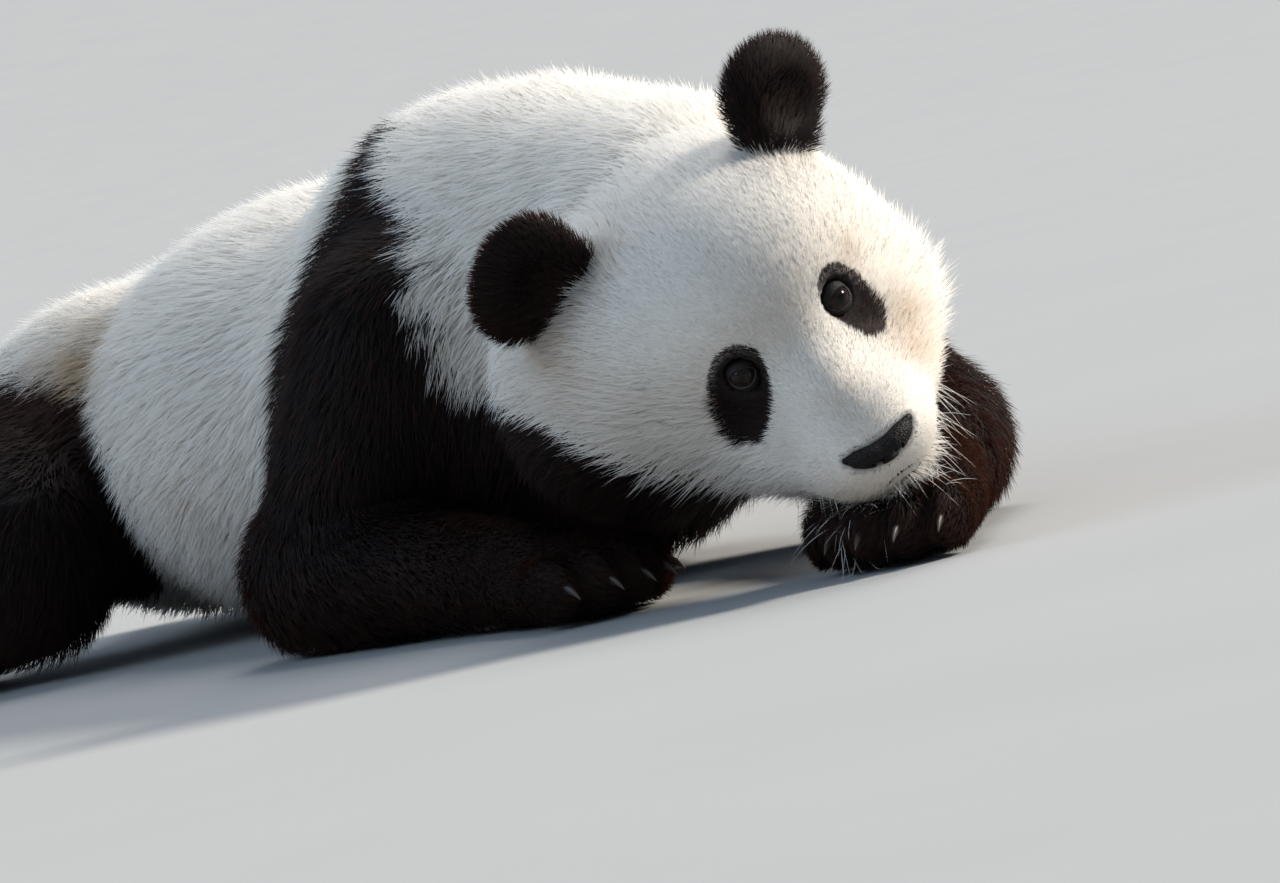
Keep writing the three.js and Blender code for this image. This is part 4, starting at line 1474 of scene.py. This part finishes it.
def tuft_settings(points, normals):
    """Everything about each tuft, as arrays."""
    count = len(points)
    length, half_width = coat_plan(points)
    lie = hair_lie(points, normals)
    uneven = 5.0 * noise(points, 9, 4) + rng.normal(0, 2.5, count)
    dark = darkness(marked_at(points, normals), points) + marking_edge(points) * uneven
    swirl = 0.20 * noise(points, 60, 1) + 0.13 * noise(points, 16, 2) + rng.normal(0, 0.13, count)
    stray = rng.random(count) < 0.05
    on_tail = smooth_step(12, 2, at_points(tail_field, points))
    fluffy = np.maximum.reduce([ear_nearness(points), beard(points), on_tail])
    lift_tip = np.radians(16) + np.radians(9) * rng.normal(0, 1, count) + np.radians(18) * fluffy
    spread = rng.uniform(0.76, 1.10, count) * (1 + 0.10 * noise(points, 30, 6))
    return {
        "length": length * spread,
        "half_width": half_width * rng.uniform(0.75, 1.2, count) * np.where(stray, 0.6, 1),
        "lie": rotated(lie, normals, swirl),
        "lift_root": np.radians(46) * rng.uniform(0.75, 1.25, count),
        "lift_tip": lift_tip + np.where(stray, np.radians(15), 0),
        "twist": np.radians(32) * rng.normal(0, 1, count).clip(-1.8, 1.8),
        "dark": dark > 0,
        "tone": np.clip(0.65 + 0.18 * noise(points, 14, 8) + rng.normal(0, 0.16, count), 0, 1),
        # Painted highlights: 7% of the black tufts get a stain of 0.9, brown glints of light on single
        # hairs. The rest carry their real stain.
        "stain_and_highlight": np.where((rng.random(count) < 0.07) & (dark > 0), 0.9, staining(points)),
    }


tufts = tuft_settings(root_points, root_normals)
print("dark tufts", int(tufts["dark"].sum()), "mean length", tufts["length"].mean().round(1))

# %% [markdown]
# ## The coat in pieces
#
# The coat is divided by region and by colour, so that each piece stays a size that other programs can
# open. Each tuft also gets a small patch on a second map of the skin, at its root's place: round and
# along the trunk, round and along each leg, and over the sphere of the head.

# %% Charts of the skin
PATCH = 0.003  # a tuft's share of its map, each way


def chart_around(points, axis_from, axis_to):
    """Angle about an axis and distance along it, each from 0 to 1."""
    span = np.subtract(axis_to, axis_from)
    axis, reach = unit(span), np.linalg.norm(span)
    first = unit(np.cross(axis, [0.31, 0.17, 0.94]))
    off = points - np.asarray(axis_from, float)
    angle = np.arctan2(off @ np.cross(axis, first), off @ first) / (2 * np.pi) + 0.5
    return np.stack([angle, np.clip(off @ axis / reach, 0, 1)], axis=1)


def chart_sphere(points, middle, axes):
    """Longitude and latitude seen from a middle, with the poles in front and behind."""
    way = unit(points - middle) @ axes.T
    longitude = np.arctan2(way[:, 1], -way[:, 2]) / (2 * np.pi) + 0.5
    return np.stack([longitude, np.arccos(np.clip(way[:, 0], -1, 1)) / np.pi], axis=1)


def chart_for(name, points):
    """The chart that fits a region's own form."""
    side = 1 if name.endswith("left") else -1
    if name == "trunk":
        return chart_around(points, [-720, 0, 190], [620, 0, 190])
    if name == "head":
        return chart_sphere(points, SKULL, HEAD_AXES)
    if name == "tail":
        return chart_sphere(points, np.array([-690, 0, 165]), WORLD_AXES)
    if name.startswith("ear"):
        return chart_sphere(points, in_ear(side, [0, 0, 0]), EAR_AXES[side])
    if name.startswith("fore"):
        return chart_around(points, FORELEGS[side]["shoulder"], paw_places(*fore_paws[side])[0])
    return chart_around(points, HIND[side]["hip"], paw_places(*hind_paws[side])[0])


# %% Pieces of the coat
MOST_TRIANGLES = 196_000  # in one piece
FEWEST_TUFTS = 40  # a few strays of a colour don't make a piece
LOWEST = 0.6  # no blade goes nearer the floor than this
REGION_NAMES = list(REGIONS)
REGION_BIAS = np.array([0.0 if name in ("trunk", "head") else -2.0 for name in REGION_NAMES])


def region_of(points):
    """The number of the region whose field is the least at each root."""
    values = np.stack([at_points(field, points) for field, _ in REGIONS.values()])
    return np.argmin(values + REGION_BIAS[:, None], axis=0)


def coat_piece(name, chosen, region, material):
    """One mesh of all chosen tufts, with its strand attribute and its map."""
    tuft = {key: values[chosen] for key, values in tufts.items()}
    blade, shading = blades(root_points[chosen], root_normals[chosen], tuft)
    blade[..., 2] = np.maximum(blade[..., 2], LOWEST)
    base = np.arange(len(chosen))[:, None] * BLADE_CORNERS
    mesh = mesh_from(name, blade.reshape(-1, 3), [base + BLADE_QUAD, base + BLADE_TIP])
    mesh.normals_split_custom_set_from_vertices(np.repeat(shading, BLADE_CORNERS, axis=0))
    along = np.array([*np.repeat(ALONG[:-1], 2), 1.0])
    strand = np.broadcast_arrays(along, tuft["tone"][:, None], tuft["stain_and_highlight"][:, None], np.ones((1, 1)))
    colour_attribute(mesh, "strand", np.stack(strand, axis=-1).reshape(-1, 4))
    across = np.array([0.0, 1.0, 0.0, 1.0, 0.5])
    local = np.stack([across, along], axis=1) * PATCH
    place = chart_for(region, root_points[chosen])[:, None, :] * (1 - PATCH) + local
    corner_map(mesh, "OFBake", place.reshape(-1, 2))
    return finish_piece(mesh, material)


def grow_coat():
    """Every region's white and dark tufts, cut along the body where one piece would be too large."""
    where, total = region_of(root_points), 0
    for index, region in enumerate(REGION_NAMES):
        for dark, word, material in ((False, "white", white_coat), (True, "black", black_coat)):
            chosen = np.nonzero((where == index) & (tufts["dark"] == dark))[0]
            if len(chosen) < FEWEST_TUFTS:
                continue
            chosen = chosen[np.argsort(root_points[chosen, 0], kind="stable")]
            cuts = int(np.ceil(len(chosen) * BLADE_TRIANGLES / MOST_TRIANGLES))
            for number, part in enumerate(np.array_split(chosen, cuts)):
                name = f"coat_{region}_{word}" + (f"_{number + 1}" if cuts > 1 else "")
                coat_piece(name, part, region, material)
                print(name, len(part) * BLADE_TRIANGLES)
            total += len(chosen) * BLADE_TRIANGLES
    print("coat triangles", total)


grow_coat()

# %% [markdown]
# ## Floor, light and camera
#
# A plain grey floor and three lights so far away that their rays are parallel, each softened by the
# size of its disc. The strongest stands on the far side and makes fur glow along the animal's outline.
# A weaker one above lights the back, a bluish one on the near side fills the shade, and the world's
# own light does the rest.

# %% Camera
CAMERA_DISTANCE = 5.0
CAMERA_TURN, CAMERA_RISE, CAMERA_ROLL = np.radians([-30, 3, 12.5])
AIM = np.array([0.5677, -0.1606, 0.1366])
VIEW_WIDTH = 1.0423  # metres seen across the picture at the point aimed at
SENSOR = 36.0


def place_camera():
    """The camera stands at its turn and rise from the point aimed at, and rolls about its view axis."""
    data = bpy.data.cameras.new("camera")
    data.sensor_width = SENSOR
    data.lens = SENSOR * CAMERA_DISTANCE / VIEW_WIDTH
    camera = in_scene("camera", data)
    level = np.array([np.cos(CAMERA_TURN), np.sin(CAMERA_TURN), 0])
    back = level * np.cos(CAMERA_RISE) + UP * np.sin(CAMERA_RISE)
    right = unit(np.cross(UP, back))
    up = np.cross(back, right)
    rolled_right = right * np.cos(CAMERA_ROLL) - up * np.sin(CAMERA_ROLL)
    rolled_up = right * np.sin(CAMERA_ROLL) + up * np.cos(CAMERA_ROLL)
    matrix = np.eye(4)
    matrix[:3, :3] = np.stack([rolled_right, rolled_up, back], axis=1)
    matrix[:3, 3] = AIM + back * CAMERA_DISTANCE
    camera.matrix_world = Matrix(matrix.tolist())
    bpy.context.scene.camera = camera


place_camera()


# %% Floor and lights
FLOOR_TURNS, CLIMB_STEPS = 96, 25
FLAT_RADII = [2.0, 8.0]  # metres, and so are the next three
FLOOR_RADIUS, RIM_RADIUS, RIM_HEIGHT = 18.0, 60.0, 4.5  # the rim is high enough to hide the horizon


def floor():
    """A flat disc, and round it a dish whose height grows as the square of the way out to its rim."""
    turn = np.arange(FLOOR_TURNS)[:, None] * 2 * np.pi / FLOOR_TURNS
    climb = np.linspace(0, 1, CLIMB_STEPS)
    radius = np.concatenate([FLAT_RADII, FLOOR_RADIUS + (RIM_RADIUS - FLOOR_RADIUS) * climb])
    height = np.concatenate([np.zeros(len(FLAT_RADII)), RIM_HEIGHT * climb**2])
    rings = np.broadcast_arrays(np.cos(turn) * radius, np.sin(turn) * radius, height)
    points = np.concatenate([np.stack(rings, axis=-1).reshape(-1, 3), np.zeros((1, 3))]) / MM
    first = np.arange(FLOOR_TURNS) * len(height)
    centre = np.full(FLOOR_TURNS, len(points) - 1)
    middle = np.stack([centre, first, np.roll(first, -1)], axis=1)
    mesh = mesh_from("floor", points, [rings_closed(FLOOR_TURNS, len(height), False), middle])
    material, tree, shader, _ = new_material("floor")
    colour = mixed(tree, noise_texture(tree, 2.0, 2), (0.31, 0.31, 0.31), (0.335, 0.335, 0.33))
    feed(tree, shader, {"Base Color": colour, "Roughness": 0.9, "Specular IOR Level": 0.2})
    mesh.materials.append(material)
    piece = in_scene("floor", mesh)


def sunlight(name, towards, strength, spread, colour):
    """Parallel light, softened by the angle that its disc takes up in the sky."""
    data = bpy.data.lights.new(name, "SUN")
    data.energy = strength
    data.angle = np.radians(spread)
    data.color = colour
    in_scene(name, data).rotation_euler = Vector(towards).to_track_quat("Z", "Y").to_euler()


floor()
sunlight("key_side", (0.36, 0.78, 0.56), 5.4, 12, (1.0, 0.93, 0.83))
sunlight("fill_side", (-0.22, -0.84, 0.50), 1.05, 35, (0.62, 0.80, 1.0))
sunlight("top_back", (-0.28, 0.37, 0.89), 1.75, 35, (1.0, 0.97, 0.93))
world = bpy.data.worlds.new("studio")
bpy.context.scene.world = world
world.use_nodes = True
sky = world.node_tree.nodes["Background"]
feed(world.node_tree, sky, {"Color": (0.60, 0.77, 1.0, 1), "Strength": 0.44})
bpy.context.scene.view_settings.view_transform = "Standard"
